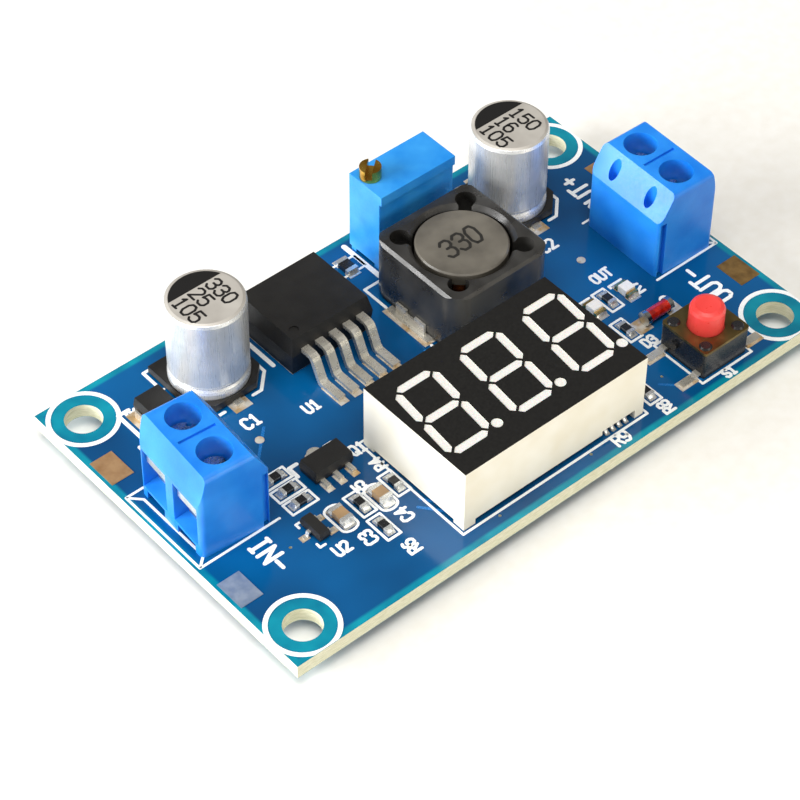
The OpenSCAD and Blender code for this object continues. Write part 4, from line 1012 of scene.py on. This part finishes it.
def shade(name, description, code):
    """A colour setting with an sRGB default."""
    return FloatVectorProperty(name=name, description=description, default=linear(code)[:3],
                               subtype="COLOR", size=3, min=0, max=1)


class ModulePrint(bpy.types.PropertyGroup):
    line_width: FloatProperty(name="Line width", description="Width of a printed line",
                              default=0.26 * MM, unit="LENGTH")
    ring_width: FloatProperty(name="Ring width", description="Width of the rings round the mounting holes",
                              default=0.47 * MM, unit="LENGTH")


class ModuleFinishes(bpy.types.PropertyGroup):
    mask_light: shade("Mask, light", "Solder mask over copper", "#045C98")
    mask_dark: shade("Mask, dark", "Solder mask in its deeper patches", "#00406F")
    mask_roughness: FloatProperty(name="Mask roughness",
                                  description="Low values mirror the parts in the mask",
                                  default=0.13, min=0.02, max=0.6)
    housing_light: shade("Housing, light", "Plastic of the screw terminals", "#2A93F2")
    housing_dark: shade("Housing, dark", "Plastic of the screw terminals, deeper patches", "#0C78DE")
    button_light: shade("Button, light", "Plastic of the push button", "#F2504C")
    button_dark: shade("Button, dark", "Plastic of the push button, deeper patches", "#E23E3A")


class ModuleStage(bpy.types.PropertyGroup):
    lens: FloatProperty(name="Lens", description="Focal length of the camera, in millimetres", default=128.63)
    light_power: FloatProperty(name="Light", description="Power of the main light", default=4.4, unit="POWER")
    world_light: FloatProperty(name="Sky", description="Strength of the surrounding light", default=0.22)


# ---------------------------------------------------------------- operators

class MODULE_OT_board(bpy.types.Operator):
    """Finish the board, its pads and its solder"""
    bl_idname = "module.board"
    bl_label = "Board"

    def execute(self, context):
        dress_board()
        return {"FINISHED"}


class MODULE_OT_silkscreen(bpy.types.Operator):
    """Print the white outlines and marks on the board"""
    bl_idname = "module.silkscreen"
    bl_label = "Silkscreen"

    def execute(self, context):
        build_silkscreen()
        return {"FINISHED"}


class MODULE_OT_terminals(bpy.types.Operator):
    """Finish the screw terminals"""
    bl_idname = "module.terminals"
    bl_label = "Screw terminals"

    def execute(self, context):
        dress_terminals()
        return {"FINISHED"}


class MODULE_OT_display(bpy.types.Operator):
    """Finish the digit display"""
    bl_idname = "module.display"
    bl_label = "Display"

    def execute(self, context):
        dress_display()
        return {"FINISHED"}


class MODULE_OT_trimmer(bpy.types.Operator):
    """Finish the multi-turn trimmer"""
    bl_idname = "module.trimmer"
    bl_label = "Trimmer"

    def execute(self, context):
        dress_trimmer()
        return {"FINISHED"}


class MODULE_OT_inductor(bpy.types.Operator):
    """Finish the shielded inductor and print its number"""
    bl_idname = "module.inductor"
    bl_label = "Inductor"

    def execute(self, context):
        dress_inductor()
        return {"FINISHED"}


class MODULE_OT_capacitors(bpy.types.Operator):
    """Finish the can capacitors and print their marks"""
    bl_idname = "module.capacitors"
    bl_label = "Capacitors"

    def execute(self, context):
        dress_capacitors()
        return {"FINISHED"}


class MODULE_OT_chips(bpy.types.Operator):
    """Finish the regulator and the small chips"""
    bl_idname = "module.chips"
    bl_label = "Regulator and chips"

    def execute(self, context):
        dress_regulator()
        dress_small_parts()
        return {"FINISHED"}


class MODULE_OT_button(bpy.types.Operator):
    """Finish the push button"""
    bl_idname = "module.button"
    bl_label = "Push button"

    def execute(self, context):
        dress_button()
        return {"FINISHED"}


class MODULE_OT_stage(bpy.types.Operator):
    """Set the floor, the lights and the camera"""
    bl_idname = "module.stage"
    bl_label = "Stage"

    def execute(self, context):
        build_stage()
        return {"FINISHED"}


OPERATORS = (
    MODULE_OT_board,
    MODULE_OT_silkscreen,
    MODULE_OT_terminals,
    MODULE_OT_display,
    MODULE_OT_trimmer,
    MODULE_OT_inductor,
    MODULE_OT_capacitors,
    MODULE_OT_chips,
    MODULE_OT_button,
    MODULE_OT_stage,
)


class MODULE_PT_finishes(bpy.types.Panel):
    """Lists the module's settings and steps"""
    bl_label = "Converter module"
    bl_idname = "MODULE_PT_finishes"
    bl_space_type = "VIEW_3D"
    bl_region_type = "UI"
    bl_category = "Module"

    def draw(self, context):
        for group in (context.scene.module_print, context.scene.module_finishes, context.scene.module_stage):
            for name in group.__annotations__:
                self.layout.prop(group, name)
        for step in OPERATORS:
            self.layout.operator(step.bl_idname)


GROUPS = {"module_print": ModulePrint, "module_finishes": ModuleFinishes, "module_stage": ModuleStage}


def register():
    for group in GROUPS.values():
        bpy.utils.register_class(group)
    for name, group in GROUPS.items():
        setattr(bpy.types.Scene, name, PointerProperty(type=group))
    for step in OPERATORS + (MODULE_PT_finishes,):
        bpy.utils.register_class(step)


def unregister():
    for step in OPERATORS + (MODULE_PT_finishes,):
        bpy.utils.unregister_class(step)
    for name, group in GROUPS.items():
        delattr(bpy.types.Scene, name)
        bpy.utils.unregister_class(group)


def main():
    register()
    for step in OPERATORS:
        group, name = step.bl_idname.split(".")
        getattr(getattr(bpy.ops, group), name)()


if __name__ == "__main__":
    main()
